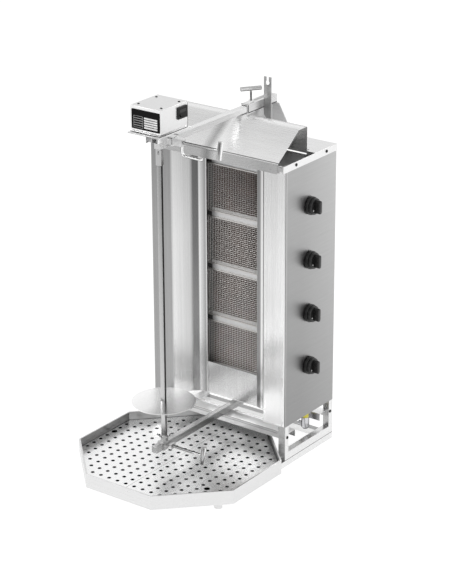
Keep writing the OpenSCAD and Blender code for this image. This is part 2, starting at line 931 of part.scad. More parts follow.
module rear_pad() { color("silver") at_rear_clamp() clamp_pad(); }
module rear_clamp_screw() {
    color("gainsboro") at_rear_clamp()
        clamp_screw(rear_screw_l, rear_bar_l, rear_bar_r, rear_turn, rear_screw_r);
}
module front_pad() { color("silver") at_front_clamp() clamp_pad(); }
module front_clamp_screw() {
    color("gainsboro") at_front_clamp()
        clamp_screw(side_screw_l, side_bar_l, side_bar_r, side_turn);
}
module foot_pad() { color("silver") at_foot_clamp() clamp_pad(); }
module foot_clamp_screw() {
    color("gainsboro") at_foot_clamp() clamp_screw(foot_screw_l, side_bar_l, side_bar_r, side_turn);
}

// Arm
module arm_sleeve() {
    inner = sleeve_hw - sleeve_wall;
    color("white") difference() {
        union() {
            box([-sleeve_hw, sleeve_front, sleeve_bottom], [sleeve_hw, sleeve_back, sleeve_top]);
            box([-sleeve_hw, seat_front, hood_top], [sleeve_hw, seat_back, sleeve_bottom]);
            translate([0, rear_screw_y, sleeve_top]) cylinder(r = boss_r, h = boss_h, $fn = round_fn);
        }
        box([-inner, sleeve_front - cut, sleeve_bottom + sleeve_wall],
            [inner, sleeve_back + cut, sleeve_top - sleeve_wall]);
        at_rear_clamp() clamp_bore(sleeve_top + boss_h - arm_top, rear_screw_r);
    }
}

module rear_bracket() {
    share = bracket_top_share / 2;
    color("white") {
        translate([0, bracket_y + bracket_t, 0]) rotate([90, 0, 0]) linear_extrude(bracket_t)
            polygon([[-bracket_w / 2, cover_top], [bracket_w / 2, cover_top],
                [bracket_w * share, sleeve_bottom], [-bracket_w * share, sleeve_bottom]]);
        box([-bracket_w / 2, bracket_y - bracket_foot, cover_top],
            [bracket_w / 2, bracket_y, cover_top + bracket_foot_t]);
        box([-bracket_t / 2, hood_back + foot_w + seat_gap, cover_top],
            [bracket_t / 2, bracket_y, hood_top - seat_gap]);
        box([-bracket_t / 2, seat_back + seat_gap, hood_top - seat_gap - cut],
            [bracket_t / 2, bracket_y, sleeve_bottom]);
    }
}

module fork_plate() {
    x0 = sleeve_hw;
    x1 = x0 + fork_w;
    color("gainsboro") translate([0, fork_y + fork_t, 0]) rotate([90, 0, 0]) linear_extrude(fork_t)
        difference() {
            polygon([[x0, fork_bottom + fork_cut], [x0 + fork_cut, fork_bottom], [x1, fork_bottom],
                [x1, fork_top], [x0, fork_top]]);
            translate([x0 + notch_x - notch_w / 2, fork_top - notch_d]) square([notch_w,
                notch_d + cut]);
            translate([x0 + notch_x, fork_top - notch_d]) circle(r = notch_r, $fn = round_fn);
        }
}

module top_arm() {
    c = collar_side / 2;
    slack = bar_side / 2 + collar_slack;
    mid_z = bar_z + bar_side / 2;
    color("white") difference() {
        union() {
            difference() {
                box([-arm_w / 2, arm_front, arm_bottom], [arm_w / 2, arm_back, arm_top]);
                box([arm_wall - arm_w / 2, arm_front + arm_wall, arm_bottom + arm_wall],
                    [arm_w / 2 - arm_wall, arm_back - arm_wall, arm_top - arm_wall]);
            }
            difference() {
                box([-c, collar_y, mid_z - c], [c, collar_y + collar_d, mid_z + c]);
                box([-slack, collar_y - cut, mid_z - slack], [slack, collar_y + collar_d + cut,
                    mid_z + slack]);
            }
            box([c, lock_y - lock_d / 2, mid_z - lock_d / 2], [lock_x, lock_y + lock_d / 2,
                mid_z + lock_d / 2]);
        }
        at_front_clamp() clamp_bore(lock_x);
        translate([lever_x, lock_y, mid_z - lock_d / 2 - cut])
            cylinder(r = lever_r + run_fit, h = lever_in + cut, $fn = round_fn);
    }
}

module lock_lever() {
    top = bar_z + bar_side / 2 - lock_d / 2 + lever_in - seat_gap;
    color("gainsboro") translate([lever_x, lock_y, top - lever_drop]) {
        translate([0, 0, lever_bend])
            cylinder(r = lever_r, h = lever_drop - lever_bend, $fn = round_fn);
        translate([lever_bend, 0, lever_bend]) rotate([90, 0, 0]) rotate([0, 0, 180])
            rotate_extrude(angle = 90, $fn = round_fn)
            translate([lever_bend, 0]) circle(r = lever_r, $fn = hole_fn);
        rod_x(lever_r, lever_bend, lever_l, $fn = round_fn);
    }
}

// Carriage
module front_bar() {
    color("gainsboro") difference() {
        box([-bar_side / 2, spit_y - bar_ahead, bar_z],
            [bar_side / 2, arm_front - bar_end_gap, front_bar_top]);
        translate([0, spit_y, bar_z - cut])
            cylinder(r = shaft_r + run_fit, h = bar_side + 2 * cut, $fn = round_fn);
    }
}

module motor_plate() {
    hx = case_w / 2 + pan_margin;
    y0 = case_y - case_d - pan_front;
    y1 = case_y + pan_back;
    low = pan_top - pan_flange;
    color("silver") difference() {
        union() {
            difference() {
                box([-hx, y0, low], [hx, y1, pan_top]);
                box([pan_t - hx, y0 + pan_t, low - cut], [hx - pan_t, y1 - pan_t, pan_top - pan_t]);
            }
            both_sides() box([saddle_w / 2 - pan_t, spit_y - saddle_l / 2, front_bar_top],
                [saddle_w / 2, spit_y + saddle_l / 2, pan_top - pan_t]);
            box([pan_t - saddle_w / 2, spit_y - saddle_l / 2, front_bar_top],
                [saddle_w / 2 - pan_t, spit_y + saddle_l / 2, front_bar_top + pan_t]);
        }
        translate([0, spit_y, front_bar_top - cut])
            cylinder(r = shaft_hole_r, h = pan_rise + 2 * cut, $fn = round_fn);
    }
}

module motor_case() {
    hx = case_w / 2;
    y0 = case_y - case_d;
    color("white") difference() {
        union() {
            difference() {
                box([-hx, y0, case_bottom], [hx, case_y, case_top]);
                box([case_t - hx, y0 + case_t, case_bottom + case_t],
                    [hx - case_t, case_y - case_t, case_top - case_t]);
            }
            difference() {
                box([case_foot_in - hx, y0 + case_foot_in, pan_top],
                    [hx - case_foot_in, case_y - case_foot_in, case_bottom]);
                box([case_foot_in + case_t - hx, y0 + case_foot_in + case_t, pan_top - cut],
                    [hx - case_foot_in - case_t, case_y - case_foot_in - case_t, case_bottom]);
            }
        }
        translate([0, spit_y, pan_top]) cylinder(r = shaft_hole_r, h = case_foot_h + case_t + cut,
            $fn = round_fn);
        box([hx - case_t - cut, switch_y0 + switch_t, switch_z0 + switch_t],
            [hx + cut, switch_y0 + switch_y - switch_t, switch_z0 + switch_h - switch_t]);
    }
}

module gear_motor() {
    top = plate_bottom + plate_t;
    y0 = case_y - case_d + case_screw_in;
    y1 = case_y - case_screw_in;
    rim = 2 * motor_post_r;
    color("dimgrey") difference() {
        union() {
            box([-case_screw_x - rim, y0 - rim, plate_bottom], [case_screw_x + rim, y1 + rim, top]);
            for (x = [-case_screw_x, case_screw_x], y = [y0, y1])
                translate([x, y, case_bottom + case_t])
                    cylinder(r = motor_post_r, h = plate_z - case_t, $fn = round_fn);
            box([-gearbox_w / 2, pinion_y - gearbox_d / 2, top],
                [gearbox_w / 2, pinion_y + gearbox_d / 2, top + gearbox_h]);
            translate([0, pinion_y, top + gearbox_h])
                cylinder(r = motor_r, h = motor_h, $fn = round_fn);
        }
        translate([0, pinion_y, plate_bottom - cut])
            cylinder(r = pinion_shaft_r + run_fit, h = pinion_shaft_l + seat_gap + cut,
                $fn = round_fn);
    }
}

module front_label() {
    w = label_w;
    h = label_h;
    r = label_r;
    color([0.1, 0.1, 0.1])
        translate([label_shift, case_y - case_d, case_bottom + label_low + h / 2]) rotate([90, 0, 0])
        linear_extrude(label_t) {
            square([w - 2 * r, h], center = true);
            square([w, h - 2 * r], center = true);
            for (x = [-1, 1], z = [-1, 1])
                translate([x * (w / 2 - r), z * (h / 2 - r)]) circle(r = r, $fn = hole_fn);
        }
}

module at_switch() {
    translate([case_w / 2 + pivot_out, switch_y0 + switch_y / 2, switch_z0 + switch_h / 2])
        children();
}

module switch_housing() {
    face = -pivot_out;
    inner_y = switch_y / 2 - switch_t - seat_gap;
    inner_z = switch_h / 2 - switch_t - seat_gap;
    well_y = rocker_y / 2 + well_gap;
    color([0.1, 0.1, 0.1]) at_switch() difference() {
        union() {
            box([face, -switch_y / 2, -switch_h / 2], [face + switch_t, switch_y / 2, switch_h / 2]);
            box([face - switch_in, -inner_y, -inner_z], [face, inner_y, inner_z]);
        }
        box([-well_d, -well_y, -well_h / 2], [face + switch_t + cut, well_y, well_h / 2]);
        rod_y(rocker_pin_r + run_fit, -inner_y - cut, inner_y + cut, $fn = hole_fn);
    }
}

module rocker_switch() {
    color([0.05, 0.05, 0.05]) at_switch() {
        translate([0, rocker_y / 2, 0]) rotate([90, 0, 0]) linear_extrude(rocker_y)
            rotate(rocker_tilt)
            polygon([[-rocker_back_x, -rocker_back_z], [rocker_tip_x, -rocker_tip_z],
                [rocker_dip_x, 0], [rocker_tip_x, rocker_tip_z], [-rocker_back_x, rocker_back_z]]);
        rod_y(rocker_pin_r, -rocker_y / 2 - rocker_pin_l, rocker_y / 2 + rocker_pin_l,
            $fn = hole_fn);
    }
}

module case_screws() {
    color("silver")
        for (x = [-case_screw_x, case_screw_x], y = [case_screw_in - case_d, -case_screw_in])
            translate([x, case_y + y, case_top]) head(small_head_r, small_head_h, $fn = hole_fn);
}

// Shoe that slides on the bottom bar and carries the spit's foot bearing
module foot_slider() {
    x = bottom_bar_w / 2 + part_gap + shoe_wall;
    y0 = spit_y - shoe_front;
    color("gainsboro") difference() {
        union() {
            box([-x, y0, beam_top - part_gap - shoe_wall], [x, y0 + shoe_l, shoe_top]);
            translate([0, spit_y, shoe_top])
                cylinder(r = foot_boss_r, h = foot_boss_h, $fn = round_fn);
            translate([x, spit_y + foot_screw_y, bottom_bar_mid - foot_screw_drop])
                box([0, -foot_block_d / 2, -foot_block_w / 2],
                    [foot_block_w, foot_block_d / 2, foot_block_w / 2]);
        }
        box([shoe_wall - x, y0 - cut, beam_top - part_gap],
            [x - shoe_wall, y0 + shoe_l + cut, shoe_top - shoe_wall]);
        translate([0, spit_y, foot_top - foot_pin_l - part_gap])
            cylinder(r = foot_pin_r + run_fit, h = foot_pin_l + part_gap + cut, $fn = round_fn);
        at_foot_clamp() clamp_bore(part_gap + shoe_wall + foot_block_w);
    }
}

// Spit
module square_rod(side, z0, z1) {
    translate([0, spit_y, 0]) rotate(rod_turn)
        box([-side / 2, -side / 2, z0], [side / 2, side / 2, z1]);
}

module spit_rod() {
    color("gainsboro") {
        square_rod(rod_side, foot_top + seat_gap, rod_top);
        translate([0, spit_y, foot_top - foot_pin_l])
            cylinder(r = foot_pin_r, h = foot_pin_l + seat_gap + cut, $fn = round_fn);
        translate([0, spit_y, disc_z - disc_t - disc_seat_h])
            cylinder(r = disc_seat_r, h = disc_seat_h, $fn = round_fn);
    }
}

module spit_disc() {
    color("white") difference() {
        translate([0, spit_y, disc_z - disc_t]) cylinder(r = disc_r, h = disc_t, $fn = 2 * round_fn);
        square_rod(rod_side + 2 * rod_play, disc_z - disc_t - cut, disc_z + cut);
    }
}

module drive_coupling() {
    socket = rod_side + 2 * rod_play;
    color("silver") difference() {
        union() {
            square_rod(coupling_side, coupling_bottom, coupling_top);
            translate([0, spit_y, coupling_top])
                cylinder(r = shaft_r, h = gear_z + gear_h + case_t - coupling_top, $fn = round_fn);
        }
        square_rod(socket, coupling_bottom - cut, rod_top);
        translate([0, spit_y, coupling_top - slot_drop - slot_h]) rotate(rod_turn)
            box([-slot_w / 2, -coupling_side, 0], [slot_w / 2, 0, slot_h]);
    }
}

module drive_gear() {
    color("goldenrod") translate([0, spit_y, gear_z]) difference() {
        union() {
            rotate(90) linear_extrude(gear_h) polygon(gear_outline(gear_teeth));
            translate([0, 0, -hub_h]) cylinder(r = hub_r, h = hub_h, $fn = round_fn);
        }
        translate([0, 0, -hub_h - cut])
            cylinder(r = shaft_r + run_fit, h = hub_h + gear_h + 2 * cut, $fn = round_fn);
    }
}

module motor_pinion() {
    color("silver") translate([0, pinion_y, 0]) {
        translate([0, 0, gear_z]) rotate(180 / pinion_teeth - 90) linear_extrude(gear_h)
            polygon(gear_outline(pinion_teeth));
        translate([0, 0, gear_z + gear_h])
            cylinder(r = pinion_shaft_r, h = plate_bottom + pinion_shaft_l - gear_z - gear_h,
                $fn = round_fn);
    }
}

// Drip tray
module octagon(flat) {
    rotate(180 / octagon_fn) circle(r = flat / 2 / cos(180 / octagon_fn), $fn = octagon_fn);
}

module drip_tray() {
    inner = tray_w - 2 * tray_t;
    color("white") translate([0, -tray_out, 0]) {
        translate([0, 0, tray_foot_h]) {
            linear_extrude(tray_t) octagon(tray_w);
            linear_extrude(tray_h) difference() {
                octagon(tray_w);
                octagon(inner);
            }
            translate([0, 0, tray_h - tray_t]) linear_extrude(tray_t) difference() {
                octagon(inner);
                octagon(tray_w - 2 * tray_rim);
            }
        }
        for (x = [-1, 1], y = [-1, 1]) translate([x * (tray_w / 2 - tray_foot_in), y * tray_foot_y])
            cylinder(r = tray_foot_r, h = tray_foot_h, $fn = round_fn);
    }
}

// The half of the grid's outline on one side of the seam, drawn in from its edge by inset
module grid_half(side, inset) {
    flat = tray_w - 2 * (tray_t + grid_gap + inset);
    intersection() {
        octagon(flat);
        translate([grid_split + side * (grid_split_gap / 2 + inset + tray_w / 2), 0])
            square([tray_w, tray_w], center = true);
    }
}

function in_grid(p) = let (edge = tray_w / 2 - tray_t - grid_gap - edge_margin)
    abs(p[0]) < edge && abs(p[1]) < edge && (abs(p[0]) + abs(p[1])) / sqrt(2) < edge
        && abs(p[0] - grid_split) > edge_margin;
function by_finger(p, q) = norm(p - q) < (finger_d + hole_d) / 2 + finger_edge;

module tray_grids() {
    fingers = [right_finger + [0, tray_out], left_finger + [0, tray_out]];
    color("white") for (side = [-1, 1]) translate([0, -tray_out, tray_foot_h + tray_t]) {
        linear_extrude(grid_lift) difference() {
            grid_half(side, 0);
            grid_half(side, grid_t);
        }
        translate([0, 0, grid_lift - grid_t]) linear_extrude(grid_t) difference() {
            grid_half(side, grid_t);
            for (i = [-hole_steps : hole_steps], j = [-hole_steps : hole_steps]) {
                p = [hole_x0 + i * hole_pitch, hole_y0 + tray_out + (j - hole_rows_shift) * hole_pitch];
                if (in_grid(p) && !by_finger(p, fingers[0]) && !by_finger(p, fingers[1]))
                    translate(p) circle(d = hole_d, $fn = hole_fn);
            }
            for (q = fingers) translate(q) circle(d = finger_d, $fn = round_fn);
        }
    }
}

// Screw heads on the outside of the cabinet, its base and the burner screens
module sheet_screws() {
    mesh_x = tile_w / 2 + house_flange_w + (mesh_rise - mesh_frame) / 2;
    color("silver") both_sides() {
        for (y = [lip_screw_front, lip_screw_rear])
            translate([hw + cover_t, y, cover_top - lip_screw_drop]) rotate([0, 90, 0])
                head($fn = hole_fn);
        for (y = [post_screw_front, rear_out - post_screw_back])
            translate([hw, y, post_screw_z]) rotate([0, 90, 0]) head($fn = hole_fn);
        for (y = [post_front + beam_d / 2, rear_out - post_rear - beam_d / 2])
            translate([beam_bolt_x, y, beam_top]) head($fn = hole_fn);
        for (i = [0 : rear_screw_n - 1])
            translate([hw - rear_screw_in, rear_out, floor_top + rear_screw_in
                + i * (panel_h - lip_h - 2 * rear_screw_in) / (rear_screw_n - 1)])
                rotate([-90, 0, 0]) head(small_head_r, small_head_h, $fn = hole_fn);
        translate([bracket_w / 2 - bracket_screw_in, bracket_y - bracket_foot + bracket_screw_in,
            cover_top + bracket_foot_t]) head($fn = hole_fn);
        translate([hood_w / 2 - bracket_foot, hood_back + foot_w / 2, cover_top + cover_t])
            head(small_head_r, small_head_h, $fn = hole_fn);
        for (z = burner_z, side = [-1, 1])
            translate([mesh_x, mesh_front, z + side * mesh_screw_z]) rotate([90, 0, 0])
                head(mesh_frame, small_head_h, $fn = hole_fn);
    }
}

base_frames();
plinth_frame();
cross_beams();
bottom_panel();
right_side_panel();
left_side_panel();
right_reflector();
left_reflector();
lower_panel();
rear_panel();
top_cover();
hood();
heat_shield();
burner_housings();
ceramic_tiles();
burner_meshes();
burner_spacers();
gas_manifold();
gas_taps();
feed_pipes();
thermocouples();
gas_inlet();
inlet_collar();
arm_sleeve();
rear_bracket();
fork_plate();
bottom_bar();
sheet_screws();
top_arm();
front_bar();
motor_plate();
motor_case();
gear_motor();
front_label();
switch_housing();
case_screws();
foot_slider();
spit_rod();
spit_disc();
drive_coupling();
drive_gear();
motor_pinion();
lock_lever();
rear_pad();
rear_clamp_screw();
front_pad();
front_clamp_screw();
foot_pad();
foot_clamp_screw();
tap_spindle(0);  // tap_spindle_1
tap_spindle(1);  // tap_spindle_2
tap_spindle(2);  // tap_spindle_3
tap_spindle(3);  // tap_spindle_4
knob(0);  // knob_1
knob(1);  // knob_2
knob(2);  // knob_3
knob(3);  // knob_4
rocker_switch();
drip_tray();
tray_grids();
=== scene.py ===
"""Looks of a gas doner kebab grill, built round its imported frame.

Every length is in metres in the frame's own axes: X to the knobs, Y to the back, Z up.
Tones are display values from 0 to 1 and are made linear where a material takes them.
"""

import json
import logging
import math
from dataclasses import dataclass, field
from enum import Enum

import bmesh
import bpy
import numpy as np
from mathutils import Matrix, Vector


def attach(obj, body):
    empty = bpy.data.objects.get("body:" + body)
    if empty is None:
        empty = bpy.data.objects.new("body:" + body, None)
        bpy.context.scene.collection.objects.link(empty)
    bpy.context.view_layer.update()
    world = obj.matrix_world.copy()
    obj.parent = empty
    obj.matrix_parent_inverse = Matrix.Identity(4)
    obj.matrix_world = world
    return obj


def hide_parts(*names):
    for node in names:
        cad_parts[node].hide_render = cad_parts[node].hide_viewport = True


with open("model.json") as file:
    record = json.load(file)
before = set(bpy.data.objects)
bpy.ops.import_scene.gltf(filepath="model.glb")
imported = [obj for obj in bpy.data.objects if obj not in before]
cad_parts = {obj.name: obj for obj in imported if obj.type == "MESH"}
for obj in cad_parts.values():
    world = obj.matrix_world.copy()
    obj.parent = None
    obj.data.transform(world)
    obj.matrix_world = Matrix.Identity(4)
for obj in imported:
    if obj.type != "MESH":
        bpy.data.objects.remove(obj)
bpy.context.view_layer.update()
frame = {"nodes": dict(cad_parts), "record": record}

LOG = logging.getLogger("grill")
MM = 0.001
Points = np.ndarray
Triple = tuple[float, float, float]
Stops = tuple[tuple[float, float], ...]
SLOTS: dict[str, str] = {s["node"]: s["material_slot"] for s in frame["record"]["subparts"]}

# Heights of the four burners, each with its tap and knob
LEVELS = (0.280, 0.440, 0.600, 0.760)
# Corners nearer than this are one
WELD = 1e-6
TINY = 1e-9
# Past every part of the object
FAR = 9.0
# Places of the colour mix node's two colours and its result
COLOUR_A, COLOUR_B, MIXED = 6, 7, 2

# Directions that faces turn to; the camera sees faces to the left and right of the ones toward it, and
# painted shade darkens many of these seen edges
FRONT, RIGHT, LEFT, UP, DOWN = (0, -1, 0), (1, 0, 0), (-1, 0, 0), (0, 0, 1), (0, 0, -1)
LEFT_SEEN, RIGHT_SEEN = (-0.80, -0.60, 0.0), (0.80, 0.60, 0.0)
BACK_SEEN = (-0.60, 0.80, 0.0)
# Axes for a patch that stands upright, and for one that lies along X
UPRIGHT = ((1, 0, 0), (0, 1, 0), (0, 0, 1))
SIDEWAYS = ((0, 0, -1), (0, 1, 0), (1, 0, 0))


class Axis(Enum):
    """A coordinate of the object's frame."""

    X = 0
    Y = 1
    Z = 2


class Grain(Enum):
    """Noise scales along X, Y and Z: fine across the brushing, long along it."""

    ALONG_X = (14.0, 1400.0, 1400.0)
    ALONG_Y = (1400.0, 14.0, 1400.0)
    ALONG_Z = (1400.0, 1400.0, 14.0)
    NONE = (1200.0, 1200.0, 1200.0)


def fill_ramp(ramp: bpy.types.Node, stops: Stops, low: float, high: float) -> None:
    """Gives a colour ramp its stops, with their places as shares of the way from low to high.

    Args:
        ramp: the ramp's node, new.
        stops: pairs of a place and a grey, in rising order of place.
        low: the place at the ramp's start.
        high: the place at its end.
    """
    elements = ramp.color_ramp.elements
    while len(elements) < len(stops):
        elements.new(0.5)
    for element, (place, grey) in zip(elements, stops):
        element.position = (place - low) / (high - low)
        element.color = (grey, grey, grey, 1.0)


def linear(tone: float) -> float:
    """The linear value of a display tone, by the usual curve of a screen.

    Args:
        tone: display value from 0 to 1.

    Returns:
        The value that a shader takes.
    """
    return tone / 12.92 if tone <= 0.04045 else ((tone + 0.055) / 1.055) ** 2.4


# Materials


@dataclass
class Nodes:
    """Builds one material's node tree."""

    name: str
    tree: bpy.types.NodeTree = field(init=False)
    material: bpy.types.Material = field(init=False)
    shader: bpy.types.Node = field(init=False)
    coords: bpy.types.NodeSocket = field(init=False)

    def __post_init__(self) -> None:
        """Makes the material with its shader, output and coordinate nodes."""
        self.material = bpy.data.materials.new(self.name)
        self.material.use_nodes = True
        self.tree = self.material.node_tree
        self.shader = self.tree.nodes["Principled BSDF"]
        self.coords = self.tree.nodes.new("ShaderNodeTexCoord").outputs["Object"]

    def add(self, kind: str, **settings: object) -> bpy.types.Node:
        """Adds a node.

        Args:
            kind: the node type without its "ShaderNode" prefix.
            settings: attributes of the node.

        Returns:
            The new node.
        """
        made = self.tree.nodes.new("ShaderNode" + kind)
        for key, value in settings.items():
            setattr(made, key, value)
        return made

    def link(self, a: bpy.types.NodeSocket, b: bpy.types.NodeSocket) -> None:
        """Joins an output to an input.

        Args:
            a: the output.
            b: the input.
        """
        self.tree.links.new(a, b)

    def noise(self, scale: Triple, detail: float = 3.0) -> bpy.types.NodeSocket:
        """Noise on object coordinates.

        Args:
            scale: cells per metre along X, Y and Z.
            detail: octaves.

        Returns:
            The noise value's socket, from 0 to 1.
        """
        mapping = self.add("Mapping")
        mapping.inputs["Scale"].default_value = scale
        self.link(self.coords, mapping.inputs["Vector"])
        noise = self.add("TexNoise")
        noise.inputs["Scale"].default_value = 1.0
        noise.inputs["Detail"].default_value = detail
        self.link(mapping.outputs[0], noise.inputs["Vector"])
        return noise.outputs["Fac"]

    def spread(self, value: bpy.types.NodeSocket, low: float, high: float,
               source: tuple[float, float] = (0.3, 0.7)) -> bpy.types.NodeSocket:
        """Maps the source range to low..high, clamped.

        Args:
            value: the socket to map.
            low: result at the source's start.
            high: result at the source's end.
            source: the range that is mapped.

        Returns:
            The mapped socket.
        """
        mapped = self.add("MapRange")
        mapped.inputs["From Min"].default_value = source[0]
        mapped.inputs["From Max"].default_value = source[1]
        mapped.inputs["To Min"].default_value = low
        mapped.inputs["To Max"].default_value = high
        self.link(value, mapped.inputs["Value"])
        return mapped.outputs[0]

    def math(self, operation: str, a: object, b: object = 0.0) -> bpy.types.NodeSocket:
        """A maths node on sockets or numbers.

        Args:
            operation: Blender's name of the operation.
            a: first socket or number.
            b: second socket or number.

        Returns:
            The result's socket.
        """
        made = self.add("Math", operation=operation)
        for slot, value in zip(made.inputs, (a, b)):
            if isinstance(value, bpy.types.NodeSocket):
                self.link(value, slot)
            else:
                slot.default_value = value
        return made.outputs[0]

    def axis(self, axis: Axis) -> bpy.types.NodeSocket:
        """One object coordinate in metres."""
        parts = self.add("SeparateXYZ")
        self.link(self.coords, parts.inputs[0])
        return parts.outputs[axis.value]

    def attribute(self, name: str) -> bpy.types.NodeSocket:
        """A number kept on the mesh, or zero where the mesh has none."""
        return self.add("Attribute", attribute_name=name).outputs["Fac"]

    def curve(self, value: bpy.types.NodeSocket, stops: Stops) -> bpy.types.NodeSocket:
        """A value that runs through (place, tone) stops.

        Args:
            value: the coordinate.
            stops: pairs of a coordinate and a tone, in rising order of coordinate.

        Returns:
            The linear tone's socket.
        """
        low, high = stops[0][0], stops[-1][0]
        ramp = self.add("ValToRGB")
        fill_ramp(ramp, stops, low, high)
        self.link(self.spread(value, 0.0, 1.0, (low, high)), ramp.inputs["Fac"])
        return ramp.outputs["Color"]

    def bump(self, height: bpy.types.NodeSocket, strength: float, distance: float) -> None:
        """Sends a height to the shader's normal.

        Args:
            height: the height's socket.
            strength: share of the effect.
            distance: depth in metres for a height of 1.
        """
        node = self.add("Bump")
        node.inputs["Strength"].default_value = strength
        node.inputs["Distance"].default_value = distance
        self.link(height, node.inputs["Height"])
        self.link(node.outputs[0], self.shader.inputs["Normal"])


@dataclass(frozen=True)
class Tone:
    """A change of brightness along one coordinate, as a factor on the metal's own tone."""

    axis: Axis
    stops: Stops


@dataclass(frozen=True)
class Metal:
    """Brushed, ground or polished sheet metal."""

    tone: float
    roughness: float = 0.3
    grain: Grain = Grain.ALONG_Z
    contrast: float = 0.05
    tint: Triple = (1.0, 1.0, 1.0)
    tones: tuple[Tone, ...] = ()
    streaks: float = 0.02
    metallic: float = 1.0
    coarser: float = 6.0
    gamma: float = 2.2
    play: float = 0.04
    bump: float = 0.05
    depth: float = 0.00001

    def make(self, name: str) -> bpy.types.Material:
        """The metal's material: tone stops times fine grain, with roughness and bump of the same grain.

        A face's painted shade takes its share from the tone, and from the glancing reflection too.

        Args:
            name: the material's name.

        Returns:
            The material.
        """
        n = Nodes(name)
        fine = n.noise(self.grain.value)
        streak = n.noise(tuple(v / self.coarser for v in self.grain.value), 2.0)
        factor = n.math("MULTIPLY", n.spread(fine, 1 - self.contrast, 1 + self.contrast),
                        n.spread(streak, 1 - self.streaks, 1 + self.streaks))
        kept = n.math("SUBTRACT", 1.0, n.attribute("shade"))
        factor = n.math("MULTIPLY", factor, kept)
        for tone in self.tones:
            factor = n.math("MULTIPLY", factor, n.curve(n.axis(tone.axis), tone.stops))
        display = n.math("MULTIPLY", factor, self.tone)
        value = n.math("POWER", n.math("MINIMUM", display, 1.0), self.gamma)
        colour = n.add("CombineColor")
        for channel, share in zip(colour.inputs, self.tint):
            n.link(n.math("MULTIPLY", value, share), channel)
        n.link(colour.outputs[0], n.shader.inputs["Base Color"])
        edge = n.add("CombineColor")
        for channel in edge.inputs:
            n.link(n.math("MINIMUM", kept, 1.0), channel)
        n.link(edge.outputs[0], n.shader.inputs["Specular Tint"])
        n.shader.inputs["Metallic"].default_value = self.metallic
        rough = n.spread(fine, self.roughness - self.play, self.roughness + self.play)
        n.link(rough, n.shader.inputs["Roughness"])
        n.bump(fine, self.bump, self.depth)
        return n.material


@dataclass(frozen=True)
class Plastic:
    """Moulded plastic or enamel with a fine skin."""

    colour: Triple
    roughness: float = 0.45
    skin: float = 900.0
    depth: float = 0.00004
    sheen: float = 0.5
    cloud: float = 45.0
    mottle: float = 0.1
    play: float = 0.06
    bump: float = 0.3

    def make(self, name: str) -> bpy.types.Material:
        """The plastic's material: a slightly mottled colour with a fine moulded skin.

        Args:
            name: the material's name.

        Returns:
            The material.
        """
        n = Nodes(name)
        fine = n.noise((self.skin,) * 3, 2.0)
        factor = n.spread(n.noise((self.cloud,) * 3, 2.0), 1 - self.mottle, 1 + self.mottle)
        colour = n.add("CombineColor")
        for channel, tone in zip(colour.inputs, self.colour):
            n.link(n.math("MULTIPLY", factor, linear(tone)), channel)
        n.link(colour.outputs[0], n.shader.inputs["Base Color"])
        rough = n.spread(fine, self.roughness - self.play, self.roughness + self.play)
        n.link(rough, n.shader.inputs["Roughness"])
        n.shader.inputs["Specular IOR Level"].default_value = self.sheen
        n.bump(fine, self.bump, self.depth)
        return n.material


@dataclass(frozen=True)
class Ceramic:
    """Fired burner plate, brown pink with heat clouds."""

    light: Triple
    dark: Triple
    cloud: float = 26.0
    chalk: float = 1500.0
    rough: tuple[float, float] = (0.8, 0.95)
    bump: float = 0.4
    depth: float = 0.0001

    def make(self, name: str) -> bpy.types.Material:
        """The ceramic's material: cloudy mix of two tones with a chalky bump.

        Args:
            name: the material's name.

        Returns:
            The material.
        """
        n = Nodes(name)
        cloud = n.noise((self.cloud,) * 3, 4.0)
        mix = n.add("Mix", data_type="RGBA")
        for slot, tone in ((COLOUR_A, self.dark), (COLOUR_B, self.light)):
            mix.inputs[slot].default_value = (*map(linear, tone), 1.0)
        n.link(n.spread(cloud, 0.0, 1.0), mix.inputs[0])
        n.link(mix.outputs[MIXED], n.shader.inputs["Base Color"])
        n.link(n.spread(cloud, *self.rough), n.shader.inputs["Roughness"])
        n.bump(n.noise((self.chalk,) * 3, 2.0), self.bump, self.depth)
        return n.material


# The reflectors' wings and flanks and the hood's slope, with painted reflections and shade in bands; the
# shield beside the burners, darker at both sides
WING_PAINTED_LIGHT = (Tone(Axis.Z, ((0.126, 1.06), (0.225, 1.06), (0.45, 1.03), (0.62, 1.02), (0.9, 0.90))),
              Tone(Axis.X, ((-0.236, 0.66), (-0.163, 0.68), (-0.159, 0.97), (-0.130, 0.86), (-0.126, 0.60),
                            (-0.114, 0.58), (-0.111, 0.98), (-0.0925, 0.66), (-0.0895, 0.98), (0.0875, 0.98),
                            (0.0900, 0.55), (0.101, 0.62), (0.107, 0.98), (0.17, 1.0), (0.236, 1.0))))
HOOD_PAINTED_LIGHT = (Tone(Axis.X, ((-0.235, 1.0), (-0.10, 1.0), (-0.055, 0.99), (-0.03, 0.78), (-0.005, 1.12),
                            (0.04, 1.02), (0.235, 1.0))),)
SIDE_DARK = Tone(Axis.X, ((-0.106, 0.42), (-0.089, 0.48), (-0.0865, 1.0), (0.0865, 1.0), (0.106, 0.8)))

